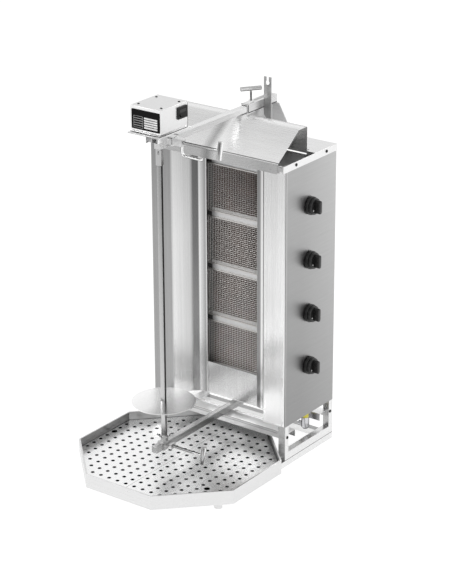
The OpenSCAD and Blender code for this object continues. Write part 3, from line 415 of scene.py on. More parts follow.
# One finish for each material slot of the frame
FINISHES: dict[str, object] = {
    "bright_steel": Metal(0.90, 0.28, Grain.ALONG_X, 0.02),
    "satin_steel": Metal(0.86, 0.32, Grain.ALONG_X, 0.02),
    # The side panel: painted shade, darker towards the bottom, and painted highlights at its front bend and
    # towards the rear
    "brushed_panel": Metal(0.70, 0.36, Grain.ALONG_Y, 0.03, streaks=0.008,
                           tones=(Tone(Axis.Z, ((0.126, 0.86), (0.45, 0.93), (0.904, 1.02))),
                                  Tone(Axis.Y, ((0.001, 1.12), (0.005, 0.96), (0.08, 0.97), (0.24, 1.07))))),
    "reflector_steel": Metal(0.88, 0.24, Grain.ALONG_Z, 0.02, tones=WING_PAINTED_LIGHT),
    "top_steel": Metal(0.93, 0.3, Grain.ALONG_X, 0.02, streaks=0.01),
    "hood_steel": Metal(0.93, 0.27, Grain.ALONG_X, 0.02, tones=HOOD_PAINTED_LIGHT, streaks=0.01),
    "galvanised": Metal(0.84, 0.45, Grain.NONE, 0.03, tones=(SIDE_DARK,), metallic=0.6),
    "ceramic": Ceramic((0.385, 0.29, 0.26), (0.21, 0.155, 0.135)),
    "burner_mesh": Metal(0.78, 0.35, Grain.NONE, 0.08, (1.0, 0.97, 0.94), metallic=0.7),
    "gas_brass": Metal(0.84, 0.3, Grain.NONE, 0.05, (1.0, 0.80, 0.45)),
    "gear_brass": Metal(0.84, 0.3, Grain.NONE, 0.05, (1.0, 0.80, 0.45)),
    "probe_steel": Metal(0.66, 0.4, Grain.NONE, 0.06, (1.0, 0.95, 0.88)),
    "plated_fitting": Metal(0.90, 0.16, Grain.NONE, 0.02, (0.97, 0.97, 1.0)),
    "yellow_band": Plastic((0.98, 0.93, 0.36), 0.3),
    "satin_bright": Metal(0.93, 0.3, Grain.ALONG_Y, 0.02, metallic=0.7),
    "fork_steel": Metal(0.72, 0.34, Grain.ALONG_Z, 0.02),
    "bar_steel": Metal(0.90, 0.26, Grain.ALONG_Y, 0.02),
    "screw_steel": Metal(0.92, 0.3, Grain.NONE, 0.03),
    "clamp_steel": Metal(0.92, 0.16, Grain.NONE, 0.02),
    "plate_steel": Metal(0.95, 0.3, Grain.ALONG_X, 0.02),
    "case_steel": Metal(0.93, 0.34, Grain.NONE, 0.01, streaks=0.01),
    "motor_grey": Plastic((0.30, 0.30, 0.31), 0.4),
    "label_black": Plastic((0.03, 0.03, 0.03), 0.35, 1500.0, 0.00001, 0.1),
    "switch_black": Plastic((0.10, 0.10, 0.10), 0.45, sheen=0.3),
    "rocker_black": Plastic((0.15, 0.15, 0.15), 0.25, sheen=0.4),
    "rod_steel": Metal(0.93, 0.18, Grain.ALONG_Z, 0.02),
    # Painted shade: the disc lighter on its left and darker to the right
    "disc_steel": Metal(0.93, 0.2, Grain.NONE, 0.01, streaks=0.01,
                        tones=(Tone(Axis.X, ((-0.075, 1.06), (-0.01, 1.0), (0.03, 0.86), (0.075, 0.78))),)),
    "knob_black": Plastic((0.10, 0.10, 0.10), 0.32, sheen=0.45),
    "tray_steel": Metal(0.95, 0.3, Grain.ALONG_X, 0.008, streaks=0.008, metallic=0.85),
    "grid_steel": Metal(1.0, 0.28, Grain.ALONG_Y, 0.008, streaks=0.008, metallic=0.9),
}

# Finishes of thin trim, whose dark, grey and white lines are partly painted shadow and highlight, and of a
# sheet that is duller than the rest of its slot
EXTRA_FINISHES: dict[str, object] = {
    "dull_steel": Metal(0.9, 0.35, Grain.ALONG_X, 0.02, metallic=0.35),
    "pointer_white": Plastic((0.93, 0.93, 0.93), 0.4),
    "print_and_highlight_white": Plastic((0.96, 0.96, 0.96), 0.5),
    "seam_and_shadow_dark": Plastic((0.12, 0.12, 0.12), 0.6, sheen=0.1),
    "seam_and_shadow_grey": Plastic((0.42, 0.42, 0.42), 0.6, sheen=0.1),
    "field_grey": Plastic((0.66, 0.66, 0.66), 0.5),
}


@dataclass
class Paints:
    """Makes each finish once and gives it out by name."""

    made: dict[str, bpy.types.Material] = field(default_factory=dict)

    def get(self, name: str) -> bpy.types.Material:
        """The material of a slot or an extra finish.

        Args:
            name: slot or finish name.

        Returns:
            The shared material.
        """
        if name not in self.made:
            self.made[name] = {**FINISHES, **EXTRA_FINISHES}[name].make(name)
        return self.made[name]


PAINTS = Paints()
# Nodes whose sheet is duller than the rest of their slot
DULLER: dict[str, str] = {"rear_bracket": "dull_steel"}


# Mesh helpers


@dataclass(frozen=True)
class Shade:
    """Faces turned one way, in a slice of the object, whose colour loses a share: mostly painted shade, and
    painted highlight where the share is negative.
    """

    share: float
    facing: Triple | None = None
    about: tuple[float, float] | None = None
    low: Triple = (-FAR, -FAR, -FAR)
    high: Triple = (FAR, FAR, FAR)
    least: float = 0.7
    upright: bool = False

    def picks(self, centres: Points, normals: Points) -> Points:
        """Faces within low and high whose normal times the wanted direction is more than least.

        The direction is facing, or toward the upright line about, or any level one where upright is set.

        Args:
            centres: array of shape (n, 3).
            normals: array of shape (n, 3).

        Returns:
            True for each face that the rule is for.
        """
        inside = ((centres >= self.low) & (centres <= self.high)).all(axis=1)
        if self.about is not None:
            inward = np.array([*self.about, 0.0]) - centres * [1, 1, 0]
            inward /= np.maximum(np.linalg.norm(inward, axis=1), TINY)[:, None]
            inside &= (normals * inward).sum(axis=1) > self.least
        if self.upright:
            inside &= np.abs(normals[:, 2]) < 1 - self.least
        if self.facing is not None:
            inside &= normals @ np.array(self.facing) > self.least
        return inside


@dataclass
class Patch:
    """Corners and faces of one surface, before it becomes an object."""

    verts: Points
    faces: Points

    def moved(self, origin: Points, x: Points, y: Points, z: Points) -> "Patch":
        """The patch in another frame: origin plus each coordinate times its axis.

        Args:
            origin: where the patch's zero goes.
            x: direction of the patch's X.
            y: direction of its Y.
            z: direction of its Z.

        Returns:
            A new patch.
        """
        axes = np.array([x, y, z], float)
        return Patch(self.verts @ axes + np.asarray(origin, float), self.faces)

    def repeated(self, offsets: Points) -> "Patch":
        """Copies of the patch, one at each offset.

        Args:
            offsets: array of shape (n, 3).

        Returns:
            One patch with all copies.
        """
        offsets = np.asarray(offsets, float).reshape(-1, 3)
        verts = (self.verts[None] + offsets[:, None]).reshape(-1, 3)
        steps = np.arange(len(offsets))[:, None, None] * len(self.verts)
        faces = (self.faces[None] + steps).reshape(-1, self.faces.shape[1])
        return Patch(verts, faces)


def joined(*patches: Patch) -> Patch:
    """One patch from several of quads.

    Args:
        patches: the patches.

    Returns:
        The joined patch.
    """
    starts = np.cumsum([0] + [len(p.verts) for p in patches[:-1]])
    return Patch(np.concatenate([p.verts for p in patches]),
                 np.concatenate([p.faces + s for p, s in zip(patches, starts)]))


def grid(points: Points, close_u: bool = False, close_v: bool = False) -> Patch:
    """Quads between neighbouring points of a (u, v) grid.

    Args:
        points: array of shape (n_u, n_v, 3).
        close_u: joins the last row to the first.
        close_v: joins the last column to the first.

    Returns:
        The patch.
    """
    nu, nv = points.shape[:2]
    index = np.arange(nu * nv).reshape(nu, nv)
    rows = np.concatenate([index, index[:1]]) if close_u else index
    full = np.concatenate([rows, rows[:, :1]], axis=1) if close_v else rows
    faces = np.stack([full[:-1, :-1], full[:-1, 1:], full[1:, 1:], full[1:, :-1]], axis=-1)
    return Patch(points.reshape(-1, 3), faces.reshape(-1, 4))


def lathe(profile: Points, sides: int = 32) -> Patch:
    """A profile of (radius, height) turned about Z: x = r cos a, y = r sin a.

    Args:
        profile: array of shape (n, 2), from one pole to the other.
        sides: steps round the axis.

    Returns:
        The patch.
    """
    angle = np.linspace(0, 2 * np.pi, sides, endpoint=False)
    r, z = profile[:, :1], profile[:, 1:]
    ring = np.stack([r * np.cos(angle), r * np.sin(angle), z + 0 * angle], axis=-1)
    return grid(ring, close_v=True)


def rounded(corners: Points, radius: float | Points, steps: int = 4) -> Points:
    """A flat path with its inner corners rounded by quadratic arcs.

    At each corner the curve runs (1-t)^2 a + 2t(1-t) corner + t^2 b between points a and b, which lie
    the radius away from the corner on its two edges.

    Args:
        corners: array of shape (n, 2).
        radius: one radius, or one for each corner.
        steps: points on each arc, less one.

    Returns:
        The rounded path.
    """
    c = np.asarray(corners, float)
    r = np.broadcast_to(radius, (len(c),))[1:-1, None]
    before, after = c[:-2] - c[1:-1], c[2:] - c[1:-1]
    lb, la = np.linalg.norm(before, axis=1)[:, None], np.linalg.norm(after, axis=1)[:, None]
    a = c[1:-1] + before / lb * np.minimum(r, lb / 2)
    b = c[1:-1] + after / la * np.minimum(r, la / 2)
    t = np.linspace(0, 1, steps + 1)[None, :, None]
    arcs = (1 - t) ** 2 * a[:, None] + 2 * t * (1 - t) * c[1:-1][:, None] + t ** 2 * b[:, None]
    return np.concatenate([c[:1], arcs.reshape(-1, 2), c[-1:]])


def slab(outline: Points, height: float, edge: float, steps: int = 3) -> Patch:
    """A closed plate with soft edges: the outline drawn in and raised along a quarter circle, with flat ends.

    Args:
        outline: array of shape (n, 2), convex, round the plate.
        height: the plate's thickness.
        edge: radius of its edges.
        steps: rings on each edge.

    Returns:
        The closed patch, with its lower face at z = 0.
    """
    centre = outline.mean(axis=0)
    reach = np.linalg.norm(outline - centre, axis=1).min()
    a = np.linspace(0, np.pi / 2, steps + 1)
    draw = edge * (1 - np.sin(a))
    rise = edge * (1 - np.cos(a))
    draws = np.concatenate([[reach], draw, draw[::-1], [reach]])
    rises = np.concatenate([[0], rise, height - rise[::-1], [height]])
    direction = (outline - centre) / np.linalg.norm(outline - centre, axis=1)[:, None]
    flat = outline[None] - direction[None] * draws[:, None, None]
    flat[0] = flat[-1] = centre
    points = np.concatenate([flat, np.broadcast_to(rises[:, None, None], flat.shape[:2] + (1,))], axis=-1)
    return grid(points, close_v=True)


def block(low: Points, high: Points) -> Patch:
    """A closed box as quads, used many at a time in nets and bars.

    Args:
        low: lowest corner.
        high: highest corner.

    Returns:
        The patch.
    """
    low, high = np.asarray(low, float), np.asarray(high, float)
    pick = np.array([[i, j, k] for i in (0, 1) for j in (0, 1) for k in (0, 1)])
    faces = np.array([[0, 1, 3, 2], [4, 6, 7, 5], [0, 4, 5, 1], [2, 3, 7, 6], [0, 2, 6, 4], [1, 5, 7, 3]])
    return Patch(low + pick * (high - low), faces)


def welded(mesh: bpy.types.Mesh, reach: float = WELD) -> bmesh.types.BMesh:
    """A working copy of a mesh in which near corners are one; the caller frees it.

    Args:
        mesh: the mesh.
        reach: corners nearer than this are joined.

    Returns:
        The copy.
    """
    work = bmesh.new()
    work.from_mesh(mesh)
    bmesh.ops.remove_doubles(work, verts=work.verts, dist=reach)
    return work


def piece(name: str, patch: Patch, finish: str, body: str,
          smooth: float | None = 35.0, stands_for: tuple[str, ...] = (),
          rules: tuple[Shade, ...] = ()) -> bpy.types.Object:
    """Makes a finished object from a patch: welded, outward, painted and riding on its body.

    Args:
        name: the object's name.
        patch: its surface.
        finish: the finish's name.
        body: the body it rides on.
        smooth: angle in degrees under which edges shade smooth, or None for flat.
        stands_for: the nodes it replaces.
        rules: shades of its faces.

    Returns:
        The object.
    """
    mesh = bpy.data.meshes.new(name)
    mesh.from_pydata(patch.verts.tolist(), [], patch.faces.tolist())
    work = welded(mesh, 2 * WELD)
    bmesh.ops.recalc_face_normals(work, faces=work.faces)
    work.to_mesh(mesh)
    work.free()
    if rules:
        shaded(mesh, rules)
    if smooth is not None:
        mesh.shade_smooth()
        mesh.set_sharp_from_angle(angle=math.radians(smooth))
    mesh.materials.append(PAINTS.get(finish))
    made = bpy.data.objects.new(name, mesh)
    bpy.context.scene.collection.objects.link(made)
    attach(made, body)
    if stands_for:
        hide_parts(*stands_for)
    LOG.info("%s: %d faces on %s", name, len(mesh.polygons), body)
    return made


def shaded(mesh: bpy.types.Mesh, rules: tuple[Shade, ...]) -> None:
    """Keeps on each face its share of painted shade, for the metals to read.

    Args:
        mesh: the mesh.
        rules: each rule's share goes to the faces that it picks.
    """
    count = len(mesh.polygons)
    centres, normals = np.empty(count * 3), np.empty(count * 3)
    mesh.polygons.foreach_get("center", centres)
    mesh.polygons.foreach_get("normal", normals)
    lost = np.zeros(count)
    for rule in rules:
        lost[rule.picks(centres.reshape(-1, 3), normals.reshape(-1, 3))] = rule.share
    mesh.attributes.new("shade", "FLOAT", "FACE").data.foreach_set("value", lost.astype(np.float32))


def softened(node: str, width: float, body: str, rules: tuple[Shade, ...] = (),
             angle: float = 40.0, flat: float = 1.0) -> bpy.types.Object:
    """A copy of a node with its sharp edges rounded.

    Args:
        node: the node's name.
        width: the rounding's width in metres.
        body: the body it rides on.
        rules: shades of its faces.
        angle: edges sharper than this, in degrees, are rounded.
        flat: faces that meet at less than this, in degrees, become one.

    Returns:
        The object that stands for the node.
    """
    source = frame["nodes"][node]
    mesh = source.data.copy()
    mesh.name = node + "_soft"
    work = welded(mesh)
    bmesh.ops.dissolve_limit(work, angle_limit=math.radians(flat), verts=work.verts, edges=work.edges)
    work.to_mesh(mesh)
    work.free()
    mesh.materials.clear()
    if rules:
        shaded(mesh, rules)
    made = bpy.data.objects.new(node + "_soft", mesh)
    bpy.context.scene.collection.objects.link(made)
    mesh.shade_smooth()
    mesh.set_sharp_from_angle(angle=math.radians(angle))
    if width:
        bevel = made.modifiers.new("soft edges", "BEVEL")
        bevel.width = width
        bevel.segments = 2
        bevel.limit_method = "ANGLE"
        bevel.angle_limit = math.radians(angle)
        bevel.use_clamp_overlap = True
    slot = SLOTS[node]
    mesh.materials.append(PAINTS.get(DULLER.get(node, slot)))
    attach(made, body)
    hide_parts(node)
    LOG.info("%s softened by %.1f mm", node, width / MM)
    return made


# Sub-assemblies


def node_corners(node: str) -> Points:
    """A node's corners in metres."""
    return np.array([v.co for v in frame["nodes"][node].data.vertices])


def node_box(node: str) -> tuple[Points, Points]:
    """Lowest and highest corner of a node in metres."""
    corners = node_corners(node)
    return corners.min(axis=0), corners.max(axis=0)


@dataclass
class Burners:
    """Woven screens and perforated ceramic faces."""

    centres: tuple[float, ...] = LEVELS
    half_width: float = 0.105
    bottom: float = -0.0775
    top: float = 0.068
    front: float = 0.088
    back: float = 0.092
    rim: float = 0.003
    pitch: float = 0.0058
    wire: float = 0.0006
    swing: float = 0.9
    net_behind: float = 0.0015
    tile_gap: float = 0.0004
    tile_half: float = 0.088
    tile_height: float = 0.066
    tile_front: float = 0.097
    tile_back: float = 0.109
    pit_pitch: float = 0.0066
    pit_depth: float = 0.0028
    pit_limit: float = 0.5
    pit_border: float = 0.002
    pit_steps: int = 5
    net_smooth: float = 60.0

    def wires(self, along: Points, across: Points, phase: float) -> Points:
        """Wires that weave over and under: depth = amplitude times cos(pi (place + wire number)).

        Args:
            along: places along each wire.
            across: places of the wires.
            phase: 0 or 1, for the two directions of the weave.

        Returns:
            Array (wires, places, 4, 2): the offset across and the depth of the four corners.
        """
        number = np.arange(len(across))[:, None] + np.arange(len(along))[None] + phase
        wave = self.wire * self.swing * np.cos(np.pi * number)
        corner = np.array([[1, 0], [0, 1], [-1, 0], [0, -1]]) * self.wire
        out = np.empty((len(across), len(along), 4, 2))
        out[..., 0] = across[:, None, None] + corner[:, 0]
        out[..., 1] = wave[..., None] + corner[:, 1]
        return out

    def net(self) -> Patch:
        """The woven net and its folded rim, about the burner's centre."""
        w, z0, z1 = self.half_width - self.rim / 2, self.bottom + self.rim / 2, self.top - self.rim / 2
        xs = np.linspace(-w, w, int(2 * w / self.pitch) + 1)
        zs = np.linspace(z0, z1, int((z1 - z0) / self.pitch) + 1)
        mid = self.front + self.net_behind
        up = self.wires(zs, xs[1:-1], 0.0)
        flat = self.wires(xs, zs[1:-1], 1.0)
        up_z = np.broadcast_to(zs[None, :, None], up.shape[:3])
        flat_x = np.broadcast_to(xs[None, :, None], flat.shape[:3])
        upright = np.stack([up[..., 0], mid + up[..., 1], up_z], -1)
        level = np.stack([flat_x, mid + flat[..., 1], flat[..., 0]], -1)
        first_up, first_level = grid(upright[0], close_v=True), grid(level[0], close_v=True)
        nets = [Patch(a.reshape(-1, 3), self.many(f.faces, len(a), len(f.verts)))
                for a, f in ((upright, first_up), (level, first_level))]
        h = self.half_width
        bars = [block((-h, self.front, self.bottom), (h, self.back, self.bottom + self.rim)),
                block((-h, self.front, self.top - self.rim), (h, self.back, self.top)),
                block((-h, self.front, self.bottom + self.rim),
                       (self.rim - h, self.back, self.top - self.rim)),
                block((h - self.rim, self.front, self.bottom + self.rim),
                       (h, self.back, self.top - self.rim))]
        return joined(*nets, *bars)

    @staticmethod
    def many(faces: Points, count: int, size: int) -> Points:
        """The same faces for each of some equal blocks of corners.

        Args:
            faces: one block's faces.
            count: how many blocks there are.
            size: corners in a block.

        Returns:
            All the blocks' faces.
        """
        return (faces[None] + np.arange(count)[:, None, None] * size).reshape(-1, faces.shape[1])

    def tile(self) -> Patch:
        """Half a burner's face: pits of depth d (cos(2 pi x / p) + cos(2 pi z / p) - limit), from 0 to d."""
        x0, x1, high, fine = self.tile_gap, self.tile_half, self.tile_height, self.pit_steps
        x = np.linspace(x0, x1, int((x1 - x0) / self.pit_pitch * fine) + 1)
        z = np.linspace(-high, high, int(2 * high / self.pit_pitch * fine) + 1)
        wave = np.cos(2 * np.pi * x / self.pit_pitch)[:, None] + np.cos(2 * np.pi * z / self.pit_pitch)[None]
        border = self.pit_border
        inside = (np.minimum(x - x0, x1 - x) > border)[:, None] & (high - np.abs(z) > border)[None]
        depth = self.pit_depth * np.clip(wave - self.pit_limit, 0, 1) * inside
        y = self.tile_front + depth
        front = np.stack([np.broadcast_to(x[:, None], y.shape), y, np.broadcast_to(z[None], y.shape)], -1)
        rear = front.copy()
        rear[..., 1] = self.tile_back
        ring = np.concatenate([front[:, 0], front[-1, 1:], front[-2::-1, -1], front[0, -2:0:-1]])
        rear_ring = ring.copy()
        rear_ring[:, 1] = self.tile_back
        return joined(grid(front), grid(rear), grid(np.stack([ring, rear_ring]), close_v=True))

    def build(self) -> None:
        """Makes each burner's screen and tiles."""
        net, right = self.net(), self.tile()
        left = Patch(right.verts * np.array([-1, 1, 1]), right.faces)
        for number, z in enumerate(self.centres, 1):
            at = np.array([[0, 0, z]])
            piece(f"burner_screen_{number}", net.repeated(at), "burner_mesh", "cabinet",
                  smooth=self.net_smooth, stands_for=("burner_meshes",))
            piece(f"burner_tiles_{number}", joined(right.repeated(at), left.repeated(at)), "ceramic",
                  "cabinet", stands_for=("ceramic_tiles",))


@dataclass
class Clamp:
    """A clamp screw: tip, threaded stem and a round bar across its end."""

    node: str
    body: str
    origin: Triple
    axes: tuple[Triple, ...]
    stem: float
    bar_half: float
    bar_radius: float
    radius: float = 0.004
    turn: float = 0.0
    tip_radius: float = 0.002
    tip_low: float = 0.0011
    stem_low: float = 0.0023
    pitch: float = 0.0015
    thread: float = 0.0005
    threaded: float = 0.7
    thread_steps: int = 5
    stem_sides: int = 16
    bar_sides: int = 32
    edge: float = 0.0016
    rules: tuple[Shade, ...] = ()

    def stem_patch(self) -> Patch:
        """Stem whose radius is r - t/2 + t/2 cos(2 pi z / p - a) where it is threaded, and r beyond."""
        end = self.stem_low + self.stem
        z = np.arange(self.stem_low, end, self.pitch / self.thread_steps)
        a = np.linspace(0, 2 * np.pi, self.stem_sides, endpoint=False)
        cut = self.thread / 2 * (z < self.stem_low + self.stem * self.threaded)
        r = self.radius - cut[:, None] * (1 - np.cos(2 * np.pi * z[:, None] / self.pitch - a[None]))
        body = np.stack([r * np.cos(a), r * np.sin(a), np.broadcast_to(z[:, None], r.shape)], -1)
        tip = ((0.0, self.tip_low), (self.tip_radius, self.tip_low), (self.tip_radius, self.stem_low))
        ends = [np.stack([q * np.cos(a), q * np.sin(a), np.full(a.shape, h)], -1) for q, h in tip]
        last = np.stack([0 * a, 0 * a, np.full(a.shape, end)], -1)
        return grid(np.concatenate([np.stack(ends), body, body[-1:] * [1, 1, 0] + [0, 0, end], last[None]]),
                    close_v=True)

    def bar_patch(self) -> Patch:
        """Round bar with softly turned ends, lying across the stem's end."""
        h, r = self.bar_half, self.bar_radius
        path = rounded(np.array([(0, -h), (r, -h), (r, h), (0, h)]), self.edge, 4)
        bar = lathe(path, self.bar_sides)
        c, s = math.cos(self.turn), math.sin(self.turn)
        return bar.moved((0, 0, self.stem_low + self.stem), (-s, c, 0), (0, 0, 1), (c, s, 0))

    def build(self) -> bpy.types.Object:
        """Makes the screw in its place."""
        patch = joined(self.stem_patch(), self.bar_patch()).moved(self.origin, *self.axes)
        return piece(self.node + "_turned", patch, SLOTS[self.node], self.body,
                     stands_for=(self.node,), rules=self.rules)


@dataclass
class Lever:
    """The lock lever: a round bar bent by a quarter circle, with a domed end."""

    radius: float = 0.004
    bend: float = 0.011
    steps: int = 10
    dome_steps: int = 6
    sides: int = 24
    rules: tuple[Shade, ...] = ()

    def build(self) -> bpy.types.Object:
        """Sweeps a circle along the bar's middle line, between the corners of the frame's node."""
        b, r = self.bend, self.radius
        lowest, high = node_box("lock_lever")
        low, middle = lowest + r, (lowest + high) / 2
        t = np.linspace(0, np.pi / 2, self.steps)
        arc = np.stack([b - b * np.cos(t), b - b * np.sin(t)], -1)
        path = np.concatenate([[(0, high[2] - low[2])], arc, [(high[0] - low[0] - r, 0)]])
        lean = np.concatenate([[0.0], t, [np.pi / 2]])
        size = np.full(len(path), r)
        dome = np.linspace(0, np.pi / 2, self.dome_steps)[1:-1]
        path = np.concatenate([path, path[-1] + np.stack([r * np.sin(dome), 0 * dome], -1)])
        lean = np.append(lean, np.full(len(dome), np.pi / 2))
        size = np.append(size, r * np.cos(dome))
        a = np.linspace(0, 2 * np.pi, self.sides, endpoint=False)
        out = size[:, None] * np.cos(a)
        rings = np.stack([path[:, :1] - out * np.cos(lean)[:, None], size[:, None] * np.sin(a),
                          path[:, 1:] - out * np.sin(lean)[:, None]], -1)
        ends = [np.broadcast_to(np.array([path[i, 0] + e, 0, path[i, 1]]), rings[0].shape)
                for i, e in ((0, 0.0), (-1, r - r * math.sin(dome[-1])))]
        patch = grid(np.concatenate([ends[0][None], rings, ends[1][None]]), close_v=True)
        patch = patch.moved((low[0], middle[1], low[2]), *UPRIGHT)
        return piece("lock_lever_bent", patch, SLOTS["lock_lever"], "lever",
                     stands_for=("lock_lever",), rules=self.rules)


@dataclass
class Knobs:
    """Round skirted knobs with a flat grip and a white dot."""

    centres: tuple[float, ...] = LEVELS
    y: float = 0.112
    base: float = 0.2385
    skirt: float = 0.026
    neck: float = 0.0212
    crown: float = 0.0222
    depth: float = 0.0175
    skirt_high: float = 0.0070
    groove: tuple[float, float] = (0.0082, 0.0104)
    crown_low: float = 0.0116
    crown_in: float = 0.0018
    crown_out: float = 0.0006
    edges: tuple[float, ...] = (0, 0, 0.001, 0.0008, 0.0008, 0.001, 0.0022, 0)
    sides: int = 48
    dot_sides: int = 20
    end_steps: int = 9
    grip: float = 0.016
    grip_edge: float = 0.0016
    half_width: float = 0.006
    half_length: float = 0.0195
    sunk: float = 0.0019
    bore: float = 0.00405
    socket: float = 0.0153
    dot: float = 0.0022
    dot_deep: float = 0.001
    dot_proud: float = 0.0004
    dot_edge: float = 0.0003
    dot_place: tuple[float, float] = (-0.0125, -0.0085)

    def skirt_patch(self) -> Patch:
        """Turned skirt: base ring, groove and crown, with the socket for the spindle."""
        s, n, c, d = self.skirt, self.neck, self.crown, self.depth
        path = np.array([(self.bore, 0), (s, 0), (s, self.skirt_high),
                         (n, self.groove[0]), (n, self.groove[1]),
                         (s - self.crown_in, self.crown_low), (c + self.crown_out, d), (0, d)])
        outer = rounded(path, np.array(self.edges), 4)
        inner = np.array([(0, self.socket), (self.bore, self.socket), (self.bore, 0)])
        return lathe(np.concatenate([inner, outer]), self.sides)

    def grip_patch(self) -> Patch:
        """Flat grip with round ends and soft edges."""
        w, h = self.half_width, self.half_length
        a = np.linspace(-np.pi / 2, np.pi / 2, self.end_steps)
        end = np.stack([w * np.sin(a), h - w + w * np.cos(a)], -1)
        outline = np.concatenate([end, -end])
        patch = slab(outline, self.grip + self.sunk, self.grip_edge)
        return patch.moved((0, 0, self.depth - self.sunk), *UPRIGHT)

    def dot_patch(self) -> Patch:
        """Small white dot let into the crown below the grip."""
        r, low, high = self.dot, -self.dot_deep, self.dot_proud
        path = rounded(np.array([(0, low), (r, low), (r, high), (0, high)]), self.dot_edge, 3)
        return lathe(path, self.dot_sides).moved((*self.dot_place, self.depth), *UPRIGHT)

    def build(self) -> None:
        """Makes the knobs and their dots."""
        axes = ((0, 1, 0), (0, 0, 1), (1, 0, 0))
        body, dot = joined(self.skirt_patch(), self.grip_patch()), self.dot_patch()
        for number, z in enumerate(self.centres, 1):
            at, knob = (self.base, self.y, z), f"knob_{number}"
            piece(f"knob_body_{number}", body.moved(at, *axes), "knob_black", knob, stands_for=(knob,))
            piece(f"knob_dot_{number}", dot.moved(at, *axes), "pointer_white", knob)


@dataclass
class Screws:
    """Button heads with a six-sided recess, where the frame has plain heads."""

    recess: float = 0.5
    sides: int = 24
    rear_from: float = 0.15
    screens: tuple[Triple, Triple] = ((-0.12, 0.06, 0.1), (0.12, 0.1, 0.88))
    dark: float = 0.72
    dome_shares: Stops = ((0.0, 0.0), (1.0, 0.0), (1.0, 0.35), (0.88, 0.72), (0.7, 0.94))
    recess_shares: tuple[tuple[float, float, bool], ...] = ((1.12, 1.0, False), (1.0, 0.98, True),
                                                            (0.97, 0.35, True), (0.0, 0.3, False))

    def head(self, radius: float, height: float) -> Patch:
        """Dome with a hexagon recess: inner rings have radius q cos(30) / cos((a mod 60) - 30).

        Args:
            radius: the head's radius.
            height: its height.

        Returns:
            The closed patch.
        """
        a = np.linspace(0, 2 * np.pi, self.sides, endpoint=False)
        hexagon = math.cos(math.pi / 6) / np.cos(np.mod(a, math.pi / 3) - math.pi / 6)
        circle = np.ones_like(a)
        q = radius * self.recess
        rings = [(radius * out, height * up, circle) for out, up in self.dome_shares]
        rings += [(q * out, height * up, hexagon if six else circle) for out, up, six in self.recess_shares]
        points = np.stack([np.stack([r * f * np.cos(a), r * f * np.sin(a), np.full(a.shape, z)], -1)
                           for r, z, f in rings])
        return grid(points, close_v=True)

    def at_islands(self, node: str) -> list[tuple[Points, Points]]:
        """Lowest and highest corner of each separate solid of a node.

        Args:
            node: the node's name.

        Returns:
            One pair of corners for each solid.
        """
        work = welded(frame["nodes"][node].data)
        seen: set[int] = set()
        found = []
        work.verts.ensure_lookup_table()
        for start in work.verts:
            if start.index in seen:
                continue
            stack, corners = [start], []
            seen.add(start.index)
            while stack:
                v = stack.pop()
                corners.append(tuple(v.co))
                for e in v.link_edges:
                    o = e.other_vert(v)
                    if o.index not in seen:
                        seen.add(o.index)
                        stack.append(o)
            c = np.array(corners)
            found.append((c.min(axis=0), c.max(axis=0)))
        work.free()
        return found

    def build(self, node: str, body: str) -> None:
        """Puts a head over each solid of the node, along its thinnest side, dark except on the screens.

        Args:
            node: the node whose heads are replaced.
            body: the body they ride on.
        """
        patches = []
        for low, high in self.at_islands(node):
            size, middle = high - low, (low + high) / 2
            thin = int(np.argmin(size))
            radius, height = float(np.max(size)) / 2, float(size[thin])
            rear = 1.0 if middle[1] > self.rear_from else -1.0
            sign = (math.copysign(1, middle[0]), rear, 1.0)[thin]
            base = middle.copy()
            base[thin] = low[thin] if sign > 0 else high[thin]
            z = np.zeros(3)
            z[thin] = sign
            x = np.roll(np.abs(z), 1)
            patches.append(self.head(radius, height).moved(base, x, np.cross(z, x), z))
        rules = Shade(self.dark), Shade(0.0, low=self.screens[0], high=self.screens[1])
        piece(node + "_turned", joined(*patches), SLOTS[node], body, stands_for=(node,), rules=rules)


@dataclass
class Label:
    """The motor box's plate: an empty table, dark cells on the left and pale bars on the right."""

    face: float = -0.3128
    left: float = -0.038
    middle: float = -0.003
    right: float = 0.041
    low: float = 0.0455
    rows: int = 5
    pitch: float = 0.0064
    bar: float = 0.0044
    line: float = 0.0009
    lift: float = 0.0003
    apart: float = 0.004
    base: float = 1.0

    def build(self) -> None:
        """Makes the pale bars and the grey outlines as thin raised print."""
        zs = self.base + self.low + np.arange(self.rows) * self.pitch
        rows = np.stack([0 * zs, 0 * zs, zs], -1)
        bar = block((self.middle, self.face - self.lift, 0), (self.right, self.face, self.bar))
        piece("label_bars", bar.repeated(rows), "print_and_highlight_white", "carriage", smooth=None)
        left, right, h, t = self.left, self.middle - self.apart, self.bar, self.line
        y0, y1 = self.face - self.lift, self.face
        cell = joined(block((left, y0, -t), (right, y1, 0)), block((left, y0, h), (right, y1, h + t)),
                      block((left, y0, 0), (left + t, y1, h)), block((right - t, y0, 0), (right, y1, h)))
        piece("label_cells", cell.repeated(rows), "field_grey", "carriage", smooth=None)


